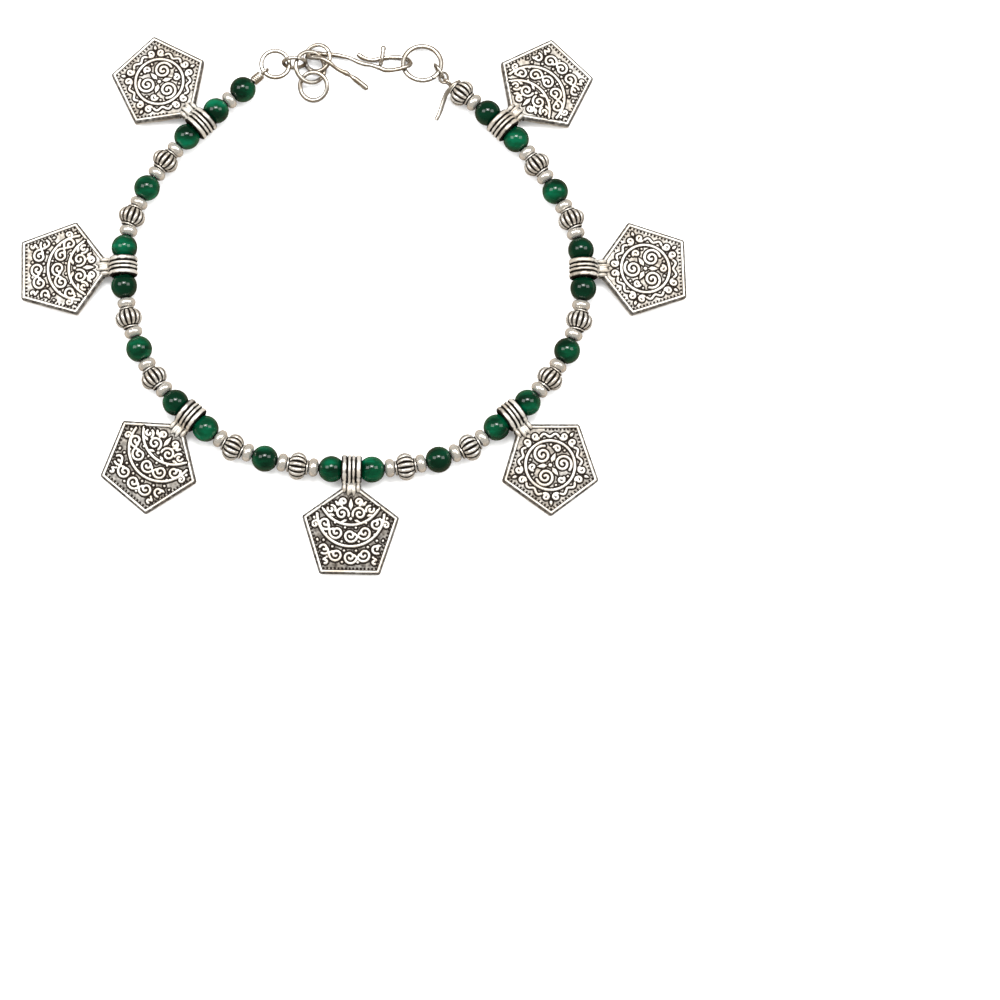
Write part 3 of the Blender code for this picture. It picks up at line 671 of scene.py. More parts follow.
def stone_group():
    """Polished green stone with soft bands and small cloudy veins, and painted shade round the hole."""
    tree, given, out = new_group("banded_stone", {
        "Place": None, "Recess": 0.0, "Deep": (0.0, 0.05, 0.02, 1.0),
        "Middle": (0.0, 0.13, 0.05, 1.0), "Light": (0.01, 0.26, 0.12, 1.0),
        "Band Scale": 150.0, "Polish": 0.06,
    })
    place = given["Place"]
    bands = add_noise(tree, "bands", place, given["Band Scale"], 3.0, stretch=(1.0, 2.4, 1.6))
    veins = add_noise(tree, "veins", place, 620.0, 4.0, stretch=(1.0, 3.0, 1.0))
    pores = add_noise(tree, "pores", place, 5200.0, 1.0)
    deep = add_range(tree, "deep bands", bands, 0.34, 0.56, 0.0, 1.0)
    body = add_mix(tree, "stone body", deep, given["Deep"], given["Middle"])
    pale = add_range(tree, "pale bands", bands, 0.52, 0.72, 0.0, 0.85)
    body = add_mix(tree, "paler stone", pale, body, given["Light"])
    vein = add_range(tree, "vein mask", veins, 0.56, 0.74, 0.0, 0.25)
    body = add_mix(tree, "veined stone", vein, body, given["Light"])
    tones = add_noise(tree, "tone from bead to bead", place, 95.0, 0.0)
    darker = add_range(tree, "darker beads", tones, 0.52, 0.36, 0.0, 0.85)
    body = add_mix(tree, "toned stone", darker, body, given["Deep"])
    # Painted shade: the stone darkens to near black round its hole
    hole_shade = add_math(tree, "painted shade round the hole", "MULTIPLY", given["Recess"], 0.9)
    body = add_mix(tree, "stone with painted hole shade", hole_shade, body, (0.0, 0.002, 0.001, 1.0))
    tree.links.new(body, out["Colour"])
    rough = add_math(tree, "uneven polish", "MULTIPLY_ADD", veins, 0.06, given["Polish"])
    tree.links.new(rough, out["Roughness"])
    tree.links.new(pores, out["Height"])
    return tree


def base_material(name):
    """A material with its shader, its node tree and the piece's own place."""
    material = bpy.data.materials.new(name)
    material.use_nodes = True
    tree = material.node_tree
    place = add_node(tree, "ShaderNodeTexCoord", "place").outputs["Object"]
    return material, tree, tree.nodes["Principled BSDF"], place


def grouped_material(name, group, inputs, depth, strength, **shader_values):
    """A material whose colour, roughness and fine unevenness come from a shared group."""
    material, tree, shader, place = base_material(name)
    # The painted value holds tarnish on silver and painted shade: round the stone's hole, down wire sides,
    # on plate edges and in darker pendant fields
    recess = add_node(tree, "ShaderNodeAttribute", "recess", attribute_name="patina_and_shade").outputs["Fac"]
    node = add_node(
        tree, "ShaderNodeGroup", group.name, node_tree=group, Place=place, Recess=recess, **inputs,
    )
    bump = add_node(
        tree, "ShaderNodeBump", "unevenness", Strength=strength, Distance=depth,
        Height=node.outputs["Height"],
    )
    tree.links.new(node.outputs["Colour"], shader.inputs["Base Color"])
    tree.links.new(node.outputs["Roughness"], shader.inputs["Roughness"])
    tree.links.new(bump.outputs["Normal"], shader.inputs["Normal"])
    for key, value in shader_values.items():
        shader.inputs[key.replace("_", " ")].default_value = value
    return material


# Silver finishes: how metallic each is, then its values of the shared group
SILVER_COLUMNS = ("Smooth Roughness", "Speckle", "Lump Scale", "Clouding")
SILVER_FINISHES = {
    "bead_silver": (0.82, 0.20, 0.05, 500.0, 0.3),
    "melon_silver": (0.78, 0.28, 0.30, 1100.0, 0.6),
    "plate_silver": (0.72, 0.44, 0.50, 1300.0, 0.7),
    "wire_silver": (1.0, 0.34, 0.15, 700.0, 0.9),
}


def silver_material(name, colours):
    """One of the silver finishes."""
    group = bpy.data.node_groups.get("silver_finish") or silver_finish_group()
    metallic, *values = SILVER_FINISHES[name]
    inputs = {
        "Silver": (*colours.silver, 1.0), "Warm Silver": (*colours.silver_warm, 1.0),
        "Tarnish": (*colours.tarnish, 1.0), **dict(zip(SILVER_COLUMNS, values)),
    }
    return grouped_material(
        name, group, inputs, 0.02 * MM, 0.5, Metallic=metallic, Specular_IOR_Level=0.2,
    )


def stone_material(name, colours):
    """Polished green stone, a little see-through."""
    inputs = {
        "Deep": (*colours.stone_deep, 1.0), "Middle": (*colours.stone, 1.0),
        "Light": (*colours.stone_light, 1.0),
    }
    return grouped_material(
        name, stone_group(), inputs, 0.004 * MM, 0.25, IOR=1.54, Specular_IOR_Level=0.24,
        Transmission_Weight=0.15,
    )


def finish_material(name, colours):
    """A material made once and found by its name afterwards."""
    make = silver_material if name in SILVER_FINISHES else stone_material
    return bpy.data.materials.get(name) or make(name, colours)


# Beads

def arc(radius, start, end, count):
    """(radius, height) points of an arc about the middle; angles in degrees from the axis."""
    turns = [math.radians(start + (end - start) * step / count) for step in range(count + 1)]
    return [(radius * math.sin(turn), radius * math.cos(turn)) for turn in turns]


def bulging_side(inner, radius, half, squareness, rows):
    """(radius, height) points of a side that bulges from its inner edges, top to bottom."""
    side = []
    for row in range(rows + 1):
        height = half * (1.0 - 2.0 * row / rows)
        bulge = max(0.0, 1.0 - abs(height / half) ** squareness) ** (1 / squareness)
        side.append((inner + (radius - inner) * bulge, height))
    return side


def green_bead_model(beads):
    """A drilled ball with a slightly broken edge round its hole."""
    radius = beads.green_diameter / 2
    hole = beads.green_hole / 2
    edge = 0.12 * MM
    rim = math.degrees(math.asin((hole + edge) / radius))
    outer = arc(radius, rim, 180.0 - rim, 20)
    mouth = math.sqrt(radius ** 2 - (hole + edge) ** 2) - edge / 2
    piece = turned_piece("green_bead_model", [*outer, (hole, -mouth), (hole, mouth)], TURN_STEPS)
    reach = off_axis(coordinates(piece))
    # Painted shade round the hole, where the neighbouring beads shade the stone
    paint(piece, smoothstep(reach, hole + 1.0 * MM, hole + 0.45 * MM))
    smooth_shading(piece)
    return piece


def silver_bead_model(beads):
    """A squat ball with a small worn flat round its hole."""
    half = beads.silver_length / 2
    hole = beads.silver_hole / 2
    flat = hole + 0.22 * MM
    mouth = half - 0.08 * MM
    side = bulging_side(flat, beads.silver_diameter / 2, half, squareness=2.05, rows=12)
    piece = turned_piece("silver_bead_model", [*side, (hole, -mouth), (hole, mouth)], TURN_STEPS)
    roughen(piece, 0.02 * MM, 1.6 * MM)
    reach = off_axis(coordinates(piece))
    paint(piece, 0.9 * smoothstep(reach, flat + 0.25 * MM, hole))
    smooth_shading(piece)
    return piece


def melon_profile(beads, body, seam):
    """Outline of a melon bead: a bulging body between two collars, with a hole."""
    half = beads.melon_length / 2
    collar = beads.collar_diameter / 2
    hole = beads.melon_hole / 2
    lip = beads.collar_length
    mouth = half - 0.1 * MM
    side = bulging_side(seam, beads.melon_diameter / 2, body, squareness=1.85, rows=14)
    top = [
        (hole + 0.1 * MM, half), (collar - 0.12 * MM, half), (collar, half - lip * 0.3),
        (collar, half - lip * 0.6), (collar - 0.08 * MM, half - lip * 0.85),
    ]
    bottom = [(reach, -height) for reach, height in reversed(top)]
    return [(hole, mouth), *top, *side, *bottom, (hole, -mouth)]


def melon_bead_model(beads):
    """A ribbed barrel between two plain collars, its ribs rounded by pulling in the grooves."""
    half = beads.melon_length / 2
    body = half - beads.collar_length
    seam = beads.collar_diameter / 2 - 0.18 * MM
    columns = beads.melon_ribs * RIB_COLUMNS
    piece = turned_piece("melon_bead_model", melon_profile(beads, body, seam), columns)
    edit(piece)
    for phase in range(RIB_COLUMNS):
        crown = math.sin(math.pi * phase / RIB_COLUMNS)
        share = 1.0 - beads.melon_rib_depth * (1.0 - crown) / (beads.melon_diameter / 2)

        def in_groove(place, phase=phase):
            """A point of the barrel in this column of each rib."""
            column = round(math.atan2(place.y, place.x) / math.tau * columns) % RIB_COLUMNS
            reach = math.hypot(place.x, place.y)
            return column == phase and abs(place.z) < body - 0.05 * MM and reach > seam
        pick(piece, in_groove)
        bpy.ops.transform.resize(value=(share, share, 1.0), center_override=(0.0, 0.0, 0.0))
    tidy_surface()
    points = coordinates(piece)
    turn = np.arctan2(points[:, 1], points[:, 0]) / math.tau * beads.melon_ribs
    crown = np.abs(np.sin(math.pi * turn))
    height = np.abs(points[:, 2])
    ribs = smoothstep(crown, 0.88, 0.50) * smoothstep(height, body, body - 0.35 * MM)
    seams = smoothstep(np.abs(height - body), 0.22 * MM, 0.10 * MM)
    rims = 0.9 * smoothstep(height, half - 0.10 * MM, half - 0.02 * MM)
    paint(piece, np.maximum.reduce([ribs, seams, rims]))
    smooth_shading(piece, 70.0)
    return piece


# Beads on the string: model, finish, slot, turn in radians from one to the next, and name
BEAD_KINDS = {
    "G": (green_bead_model, "green_stone_polish", "green_stone", 2.4, "stone_green_bead_{:02d}"),
    "S": (silver_bead_model, "bead_silver", "silver", 1.7, "silver_bead_{:02d}"),
    "M": (melon_bead_model, "melon_silver", "silver", 0.9, "ribbed_melon_bead_{:02d}"),
}


def add_beads(context, kind):
    """Model a bead of this kind once, and put a copy at each of its places."""
    beads, pendants, _, colours, _ = sizes(context)
    make_model, finish_name, slot, turn, name = BEAD_KINDS[kind]
    model = make_model(beads)
    material = finish_material(finish_name, colours)
    for thing in strung_things(beads, pendants):
        if thing["kind"] == kind:
            turned = thing["place"] @ Matrix.Rotation(turn * thing["number"], 4, "Z")
            piece = placed_copy(model, name.format(thing["number"]), turned)
            finish(piece, material, slot, thing["node"])
    bpy.data.objects.remove(model, do_unlink=True)


class ANKLET_OT_green_beads(bpy.types.Operator):
    """Add the polished green stone beads, one at each of their solids."""

    bl_idname = "anklet.green_beads"
    bl_label = "Green beads"

    def execute(self, context):
        add_beads(context, "G")
        return {"FINISHED"}


class ANKLET_OT_silver_beads(bpy.types.Operator):
    """Add the small silver beads, each between its two neighbours."""

    bl_idname = "anklet.silver_beads"
    bl_label = "Small silver beads"

    def execute(self, context):
        add_beads(context, "S")
        return {"FINISHED"}


class ANKLET_OT_melon_beads(bpy.types.Operator):
    """Add the ribbed melon beads, one at each of their solids."""

    bl_idname = "anklet.melon_beads"
    bl_label = "Melon beads"

    def execute(self, context):
        add_beads(context, "M")
        return {"FINISHED"}


# Pendants. On a face, u runs sideways and v towards the bail, in millimetres from
# its middle; a stroke is a list of (u, v, half width).

def polar(reach, bearing, u=0.0, v=0.0):
    """The place at this reach and bearing from (u, v); bearings in degrees."""
    turn = math.radians(bearing)
    return u + reach * math.cos(turn), v + reach * math.sin(turn)


def winding(u, v, start, end, steps, reach_at, thick):
    """A stroke round (u, v) between two bearings; reach_at gives its distance on the way."""
    shares = [step / steps for step in range(steps + 1)]
    return [(*polar(reach_at(share), start + (end - start) * share, u, v), thick) for share in shares]


def curl(u, v, radius, start, turns, thick=0.25, inner=0.22):
    """A spiral that winds in from its outer end; turns may be negative."""
    steps = max(8, round(abs(turns) * 18))
    return winding(
        u, v, start, start + 360.0 * turns, steps,
        lambda share: radius + (inner - radius) * share, thick,
    )


def round_frame(v, radius, start, end, thick):
    """Part of a circle."""
    steps = max(12, round(abs(end - start) / 6))
    return winding(0.0, v, start, end, steps, lambda share: radius, thick)


def wave(radius, start, end, swing, waves, thick):
    """A tendril that winds to and fro across a circle."""
    steps = max(12, round(abs(waves) * 14))
    return winding(
        0.0, 0.0, start, end, steps,
        lambda share: radius + swing * math.sin(math.tau * waves * share), thick,
    )


def leaf(u, v, bearing, length, thick=0.36):
    """A pointed leaf from its foot."""
    shape = ((0.0, 0.10), (0.35, thick), (0.65, thick * 0.75), (1.0, 0.06))
    return [(*polar(length * share, bearing, u, v), half) for share, half in shape]


def pearl(u, v, half=0.27):
    """A raised dot."""
    return [(u, v, half), (u + 0.01, v, half)]


def mirrored(strokes):
    """The strokes and their mirror images across the middle."""
    return strokes + [[(-u, v, half) for u, v, half in stroke] for stroke in strokes]


def sagging_arc(half_width, end_height, low_height, thick):
    """One of the two arcs that hang across a plate, less than half a circle."""
    sag = end_height - low_height
    radius = (half_width ** 2 + sag ** 2) / (2 * sag)
    reach = math.degrees(math.asin(half_width / radius))
    return round_frame(low_height + radius, radius, -90.0 - reach, -90.0 + reach, thick)


def running_scroll(centre_v, radius, curls, flip):
    """Curls of (bearing, size) in a row along a hanging arc, turning left and right by turns."""
    strokes = []
    for index, (bearing, size) in enumerate(curls):
        place = polar(radius, bearing - 90.0, v=centre_v)
        hand = 1 if (index + flip) % 2 else -1
        start = 90.0 + bearing + 90.0 * hand
        foot = polar(size * 0.98, start, *place)
        strokes.append(curl(*place, size, start, size * hand))
        strokes.append(leaf(*foot, bearing + 28.0 * hand + 90.0 * (1 - hand), size * 1.1, 0.32))
    return strokes


def pearl_row(centre_v, radius, bearings, half):
    """Pearls along a hanging arc."""
    return [pearl(*polar(radius, bearing - 90.0, v=centre_v), half) for bearing in bearings]


def arcs_face():
    """Curls, leaves and pearls above, between and below the two hanging arcs."""
    strokes = [leaf(0.0, 4.45, 90.0, 2.3, 0.46), pearl(0.0, 2.7, 0.32)]
    strokes += mirrored([
        curl(1.72, 3.72, 1.38, 200.0, -1.4),
        curl(3.95, 4.55, 0.98, 200.0, -1.2),
        curl(1.50, 6.05, 0.80, -70.0, 1.2),
        leaf(2.35, 5.25, 52.0, 1.2, 0.34), leaf(3.2, 3.3, 15.0, 1.1, 0.30),
        leaf(0.75, 2.45, -20.0, 1.3, 0.30), pearl(5.35, 5.0, 0.26), pearl(2.95, 6.0, 0.24),
    ])
    strokes += running_scroll(
        5.8, 6.4, ((-51.0, 1.3), (-25.5, 1.42), (0.0, 1.42), (25.5, 1.42), (51.0, 1.3)), 0)
    strokes += pearl_row(5.8, 4.95, (-38.0, -12.5, 12.5, 38.0), 0.25)
    strokes += pearl_row(5.8, 7.75, (-38.0, -12.5, 12.5, 38.0), 0.25)
    strokes += running_scroll(
        3.9, 8.72, ((-52.0, 0.9), (-36.0, 1.2), (-18.5, 1.4), (0.0, 1.42), (18.5, 1.4), (36.0, 1.2),
                    (52.0, 0.9)), 1)
    strokes += pearl_row(3.9, 7.55, (-44.0, -27.5, -9.0, 9.0, 27.5, 44.0), 0.26)
    strokes += pearl_row(3.9, 9.85, (-27.5, -9.0, 9.0, 27.5), 0.26)
    strokes += mirrored([
        curl(6.95, 1.55, 0.72, 120.0, -1.0, 0.24, 0.15), leaf(7.0, 2.6, 60.0, 1.0, 0.3),
        curl(4.75, -5.7, 0.62, 80.0, -1.0, 0.24, 0.15), leaf(6.7, -0.1, -75.0, 1.2, 0.3),
    ])
    return strokes


def medallion_face():
    """Curls and leaves inside the round frame, and tendrils and curls in the plate's corners."""
    strokes = [pearl(0.0, 0.0, 0.38)]
    for third in range(3):
        bearing = 90.0 + 120.0 * third
        side = bearing + 60.0
        strokes += [
            curl(*polar(2.55, bearing), 1.8, bearing - 50.0, 1.8, 0.27),
            leaf(*polar(0.7, side), side, 1.9, 0.46),
            curl(*polar(3.55, side), 0.72, side + 90.0, -1.0),
            pearl(*polar(4.1, side - 21.0), 0.24),
            pearl(*polar(4.1, side + 21.0), 0.24),
        ]
    for corner in range(PLATE_SIDES):
        bearing = 90.0 + CORNER_TURN * corner
        strokes.append(wave(5.98, bearing + 19.0, bearing + 53.0, 0.34, 1.5, 0.25))
        for hand in (-1, 1):
            place = polar(6.35, bearing + hand * 9.5)
            strokes.append(curl(*place, 0.74, bearing + hand * 150.0, 1.1 * hand))
        towards_bail = corner == 0
        if not towards_bail:
            strokes.append(leaf(*polar(7.05, bearing), bearing, 0.95, 0.32))
    return strokes


def beyond_strokes(places, strokes):
    """How far each place lies outside the edge of the nearest stroke; less than 0 inside."""
    nearest = np.full(len(places), 10.0)
    for stroke in strokes:
        for start, end in zip(stroke, stroke[1:]):
            foot = np.array(start[:2])
            run = np.array(end[:2]) - foot
            share = np.clip((places - foot) @ run / max(run @ run, 1e-9), 0.0, 1.0)
            gap = np.linalg.norm(places - foot - share[:, None] * run, axis=1)
            nearest = np.minimum(nearest, gap - start[2] - (end[2] - start[2]) * share)
    return nearest


def pentagon(radius):
    """Corners of a pentagon in u and v, the first towards the bail."""
    return [polar(radius, 90.0 + CORNER_TURN * corner) for corner in range(PLATE_SIDES)]


def inside_outline(places, radius, corner_radius):
    """How far each place lies inside a pentagon with rounded corners."""
    core_radius = radius - corner_radius / FLAT_SHARE
    core = pentagon(core_radius)
    gap = beyond_strokes(places, [[(*point, 0.0) for point in (*core, core[0])]])
    inner = np.full(len(places), 10.0)
    for side in range(PLATE_SIDES):
        normal = np.array(polar(1.0, 90.0 + CORNER_TURN * (side + 0.5)))
        inner = np.minimum(inner, core_radius * FLAT_SHARE - places @ normal)
    return np.where(inner > 0.0, corner_radius + gap, corner_radius - gap)


def punched_dots(radius, inset, pitch):
    """A row of dots along each side, inside the rim, with none under the neck."""
    neck_start = radius - 3.6
    corners = pentagon(radius - inset / FLAT_SHARE)
    dots = []
    for start, end in zip(corners, corners[1:] + corners[:1]):
        start, end = np.array(start), np.array(end)
        count = round(np.linalg.norm(end - start) / pitch)
        for step in range(count):
            place = start + (end - start) * step / count
            if place[1] < neck_start:
                dots.append(pearl(place[0], place[1], 0.12))
    return dots


class Face:
    """The relief of one face: heights under the rim's top, and shares of tarnish and of painted shade."""

    # Row of dots: its distance from the rim, its pitch and depth, and the strokes' start
    dot_inset = 0.36
    dot_pitch = 0.76
    dot_depth = 0.10
    stroke_inset = 0.80
    # A stroke's rounded side: where it starts outside the stroke, and its width
    stroke_foot = 0.05
    stroke_slope = 0.20
    # Tarnish beside the rim, and painted shade on the worn edge
    rim_tarnish = 0.40
    edge_painted_shade = 0.66

    def __init__(self, kind, pendant):
        thick = pendant.stroke_width / MM / 2
        self.radius = pendant.plate_radius / MM
        self.corner_radius = pendant.corner_radius / MM
        self.relief = pendant.relief_height / MM
        self.rim_start = pendant.edge_bevel / MM
        self.rim_end = self.rim_start + pendant.rim_width / MM
        if kind == "arcs":
            frames = [sagging_arc(*INNER_ARC, thick), sagging_arc(*OUTER_ARC, thick)]
            strokes = arcs_face()
        else:
            frames = [round_frame(0.0, pendant.medallion_radius / MM, 0.0, 360.0, thick)]
            strokes = medallion_face()
        self.strokes = frames + self.kept(strokes)
        self.dots = punched_dots(self.radius, self.rim_end + self.dot_inset, self.dot_pitch)

    def kept(self, strokes):
        """The stretches of the strokes that stay clear of the row of dots."""
        stretches = []
        for stroke in strokes:
            places = np.array([point[:2] for point in stroke])
            inside = inside_outline(places, self.radius, self.corner_radius)
            stretch = []
            for point, is_clear in zip(stroke, inside > self.rim_end + self.stroke_inset):
                if is_clear:
                    stretch.append(point)
                elif stretch:
                    stretches.append(stretch)
                    stretch = []
            stretches.append(stretch)
        return [stretch for stretch in stretches if len(stretch) > 1]

    def read(self, places):
        """Height, groove darkness and field share at (u, v) places."""
        edge = inside_outline(places, self.radius, self.corner_radius)
        stroke = beyond_strokes(places, self.strokes)
        dot = beyond_strokes(places, self.dots)
        field = smoothstep(edge, self.rim_end - 0.02, self.rim_end + 0.10)
        rise = np.clip((self.stroke_foot - stroke) / self.stroke_slope, 0.0, 1.0)
        between = field * (1.0 - np.sin(rise * math.pi / 2))
        slope = np.clip(edge / self.rim_start, 0.0, 1.0)
        height = -self.relief * between
        height -= self.dot_depth * smoothstep(dot, 0.10, -0.05) * field
        height -= self.rim_start * (1.0 - np.sin(slope * math.pi / 2))
        beside = smoothstep(stroke, -0.06, 0.05) * smoothstep(stroke, 0.30, 0.20)
        rim_side = smoothstep(edge, self.rim_end - 0.03, self.rim_end + 0.04)
        rim_side *= smoothstep(edge, self.rim_end + 0.20, self.rim_end + 0.10)
        # Darkness: tarnish in the hollows, with painted shade on the worn edge
        groove = np.maximum.reduce([
            beside, self.rim_tarnish * rim_side, smoothstep(dot, 0.11, 0.0) * field,
            self.edge_painted_shade * smoothstep(edge, self.rim_start + 0.18, self.rim_start + 0.04),
        ])
        return height, groove, between


def bail_profile(pendant):
    """Outline of the bail: four rounded ribs with grooves between them."""
    half = pendant.wide_rib + pendant.narrow_rib
    steps = 7
    upper = []
    for start, end in ((half, pendant.narrow_rib), (pendant.narrow_rib, 0.0)):
        for step in range(steps + 1):
            share = step / steps
            groove = pendant.groove_depth * (1.0 - math.sin(math.pi * share) ** 0.55)
            upper.append((pendant.bail_diameter / 2 - groove, start + (end - start) * share))
        if end > 0.0:
            upper.pop()
    lower = [(reach, -height) for reach, height in reversed(upper[:-1])]
    bore = pendant.bail_bore / 2
    lip = 0.15 * MM
    return [(bore + lip, half), *upper, *lower, (bore + lip, -half), (bore, -half + lip), (bore, half - lip)]


# Lobes of the neck: place across it, then length, width and height as shares of it
NECK_LOBES = (
    (0.0, 0.92, 0.98, 0.82), (-0.30, 1.02, 0.25, 1.0), (0.30, 1.02, 0.25, 1.0),
    (-0.74, 0.80, 0.30, 0.94), (0.74, 0.80, 0.30, 0.94),
)


def hanger_model(pendant):
    """The ribbed bail and the lobes of the neck in one skin."""
    bail = turned_piece("hanger_model", bail_profile(pendant), BAIL_STEPS)
    bail.data.transform(Matrix.Rotation(math.radians(90), 4, "X"))
    lobe_start = pendant.bail_diameter / 2 - 0.5 * MM
    lobes = []
    for side, length, width, height in NECK_LOBES:
        middle_x = lobe_start + pendant.neck_length * length / 2
        centre = (middle_x, side * pendant.neck_width / 2, 0.0)
        scale = (
            pendant.neck_length * length, pendant.neck_width * width, pendant.neck_height * height,
        )
        lobes.append(round_piece("neck_lobe", 0.5, centre, scale))
    unite(bail, lobes)
    roughen(bail, 0.08 * MM, 0.9 * MM)
    return bail


def cut_to_outline(piece, pendant):
    """Cut a sheet along a plate's sides, and three times round each corner."""
    centre = Vector((pendant.reach, 0.0, 0.0))
    flat = pendant.plate_radius * FLAT_SHARE
    corner_reach = (flat - pendant.corner_radius) / FLAT_SHARE
    cuts = [(CORNER_TURN / 2, flat)]
    for lean in (-18.0, 0.0, 18.0):
        cuts.append((lean, corner_reach * math.cos(math.radians(lean)) + pendant.corner_radius))
    edit(piece)
    for side in range(PLATE_SIDES):
        for lean, distance in cuts:
            normal = Vector((*polar(1.0, 180.0 + CORNER_TURN * side + lean), 0.0))
            bpy.ops.mesh.select_all(action="SELECT")
            bpy.ops.mesh.bisect(
                plane_co=centre + normal * distance, plane_no=normal, clear_outer=True,
                use_fill=False, threshold=MERGE,
            )
    bpy.ops.object.mode_set(mode="OBJECT")


def face_places(points, pendant):
    """The points' u and v on the face."""
    return np.column_stack((points[:, 1], pendant.reach - points[:, 0])) / MM


def raise_relief(piece, pendant, face):
    """Lift the sheet's points to the heights of the face."""
    height, _, _ = face.read(face_places(coordinates(piece), pendant))
    depth = -height.min()
    lift = piece.vertex_groups.new(name="relief")
    for index, value in enumerate(1.0 + height / depth):
        lift.add([index], float(value), "REPLACE")
    apply_modifier(
        piece, "DISPLACE", direction="Z", mid_level=0.0, strength=depth * MM, vertex_group=lift.name,
    )
    foot = pendant.plate_thickness / 2 - depth * MM
    piece.data.transform(Matrix.Translation((0.0, 0.0, foot)))


def close_behind(piece, pendant):
    """Give the sheet its walls and its plain back."""
    flat = pendant.plate_radius * FLAT_SHARE
    bevel = pendant.edge_bevel
    edit(piece)
    bpy.ops.mesh.select_mode(type="EDGE")
    bpy.ops.mesh.select_non_manifold()
    for drop in (pendant.plate_thickness - 2 * bevel, bevel):
        bpy.ops.mesh.extrude_region_move(TRANSFORM_OT_translate={"value": (0.0, 0.0, -drop)})
    share = (flat - bevel) / flat
    bpy.ops.transform.resize(value=(share, share, 1.0), center_override=(pendant.reach, 0.0, 0.0))
    bpy.ops.mesh.edge_face_add()
    tidy_surface()


def plate_model(name, pendant, face):
    """The plate: a fine sheet cut to the outline, raised in relief and closed behind."""
    side = 2 * pendant.plate_radius
    cells = round(side / PLATE_CELL)
    piece = new_object(
        name, bpy.ops.mesh.primitive_grid_add, x_subdivisions=cells, y_subdivisions=cells, size=side,
        location=(pendant.reach, 0.0, 0.0),
    )
    bpy.ops.object.transform_apply(location=True, rotation=True, scale=True)
    cut_to_outline(piece, pendant)
    raise_relief(piece, pendant, face)
    close_behind(piece, pendant)
    return piece


def bail_tarnish(points, reach, bail_radius):
    """Dark in the grooves between the ribs, and in patches over them."""
    patch_size = 0.9 * MM
    lumps = np.array([noise.noise(Vector(point) / patch_size) for point in points])
    patches = 0.55 * smoothstep(lumps, 0.05, 0.40)
    patches *= smoothstep(reach, bail_radius + 0.05, bail_radius - 0.05)
    return np.maximum(smoothstep(reach, bail_radius - 0.03, bail_radius - 0.18), patches)


def neck_tarnish(across, above_plate, beyond_bail):
    """Dark in the creases between the lobes, along their foot and at their root."""
    crease = np.maximum(
        smoothstep(np.abs(across - 0.93), 0.18, 0.04), 0.8 * smoothstep(across, 0.16, 0.04))
    foot = smoothstep(above_plate, 0.22, 0.0)
    root = smoothstep(beyond_bail, 0.25, 0.0)
    return np.maximum.reduce([0.8 * crease, 0.75 * foot, 0.8 * root])


def pendant_model(kind, pendant, hanger):
    """One whole pendant, with the bail about Y and the plate out along X."""
    wall_tarnish, back_tarnish = 0.16, 0.15
    face = Face(kind, pendant)
    piece = plate_model(f"pendant_{kind}_model", pendant, face)
    unite(piece, [placed_copy(hanger, "hanger_copy", Matrix.Identity(4))])
    points = coordinates(piece)
    places = face_places(points, pendant)
    height, groove, between = face.read(places)
    reach = np.hypot(points[:, 0], points[:, 2]) / MM
    across = np.abs(points[:, 1]) / MM
    above = points[:, 2] / MM
    thick = np.abs(above)
    top = pendant.plate_thickness / 2 / MM
    bail_radius = pendant.bail_diameter / MM / 2
    bail_half = (pendant.wide_rib + pendant.narrow_rib) / MM
    on_face = (np.abs(above - top - height) < 0.02) & (places[:, 1] < face.radius)
    on_bail = (reach < bail_radius + 0.12) & (across < bail_half + 0.1)
    on_neck = (reach < 6.2) & (across < 2.2) & (thick > 0.2)
    on_wall = thick < top - face.rim_start + 0.02
    dark = np.where(on_wall, wall_tarnish, back_tarnish)
    dark = np.where(on_neck, neck_tarnish(across, thick - top, reach - bail_radius), dark)
    dark = np.where(on_bail, bail_tarnish(points, reach, bail_radius), dark)
    paint(piece, np.where(on_face, groove, dark), "groove")
    paint(piece, np.where(on_face, between, 0.0), "field")
    smooth_shading(piece, 60.0)
    return piece


def take_layer(piece, name):
    """Read a value of each point and delete it from the piece."""
    layer = piece.data.attributes[name]
    values = numbers(layer.data, "value", 1)[:, 0]
    piece.data.attributes.remove(layer)
    return values


class ANKLET_OT_pendants(bpy.types.Operator):
    """Add the seven cast pendants, one at each of their solids."""

    bl_idname = "anklet.pendants"
    bl_label = "Pendants"

    def execute(self, context):
        beads, pendants, _, colours, _ = sizes(context)
        hanger = hanger_model(pendants)
        models = {kind: pendant_model(kind, pendants, hanger) for kind in ("arcs", "medallion")}
        material = finish_material("plate_silver", colours)
        for thing in strung_things(beads, pendants):
            if thing["kind"] != "P":
                continue
            kind, field_tarnish_and_shade = PENDANTS[thing["number"] - 1]
            piece = placed_copy(models[kind], f"cast_{thing['node']}", thing["place"])
            # The field's tarnish, with painted shade on the pendants set darker
            paint(piece, take_layer(piece, "groove") + field_tarnish_and_shade * take_layer(piece, "field"))
            finish(piece, material, "silver", thing["node"])
        for model in (hanger, *models.values()):
            bpy.data.objects.remove(model, do_unlink=True)
        return {"FINISHED"}


# String, wraps and tail

def helix(start, direction, length, radius, wire, lead_in):
    """Points of close turns round the direction, from the start."""
    turn = direction.to_track_quat("Z", "Y")
    turns = length / wire
    steps = round(turns * 16)
    points = []
    for step in range(steps + 1):
        share = step / steps
        angle = math.tau * turns * share + lead_in
        rise = wire / 2 + (length - wire) * share
        points.append(start + turn @ Vector((radius * math.cos(angle), radius * math.sin(angle), rise)))
    return points


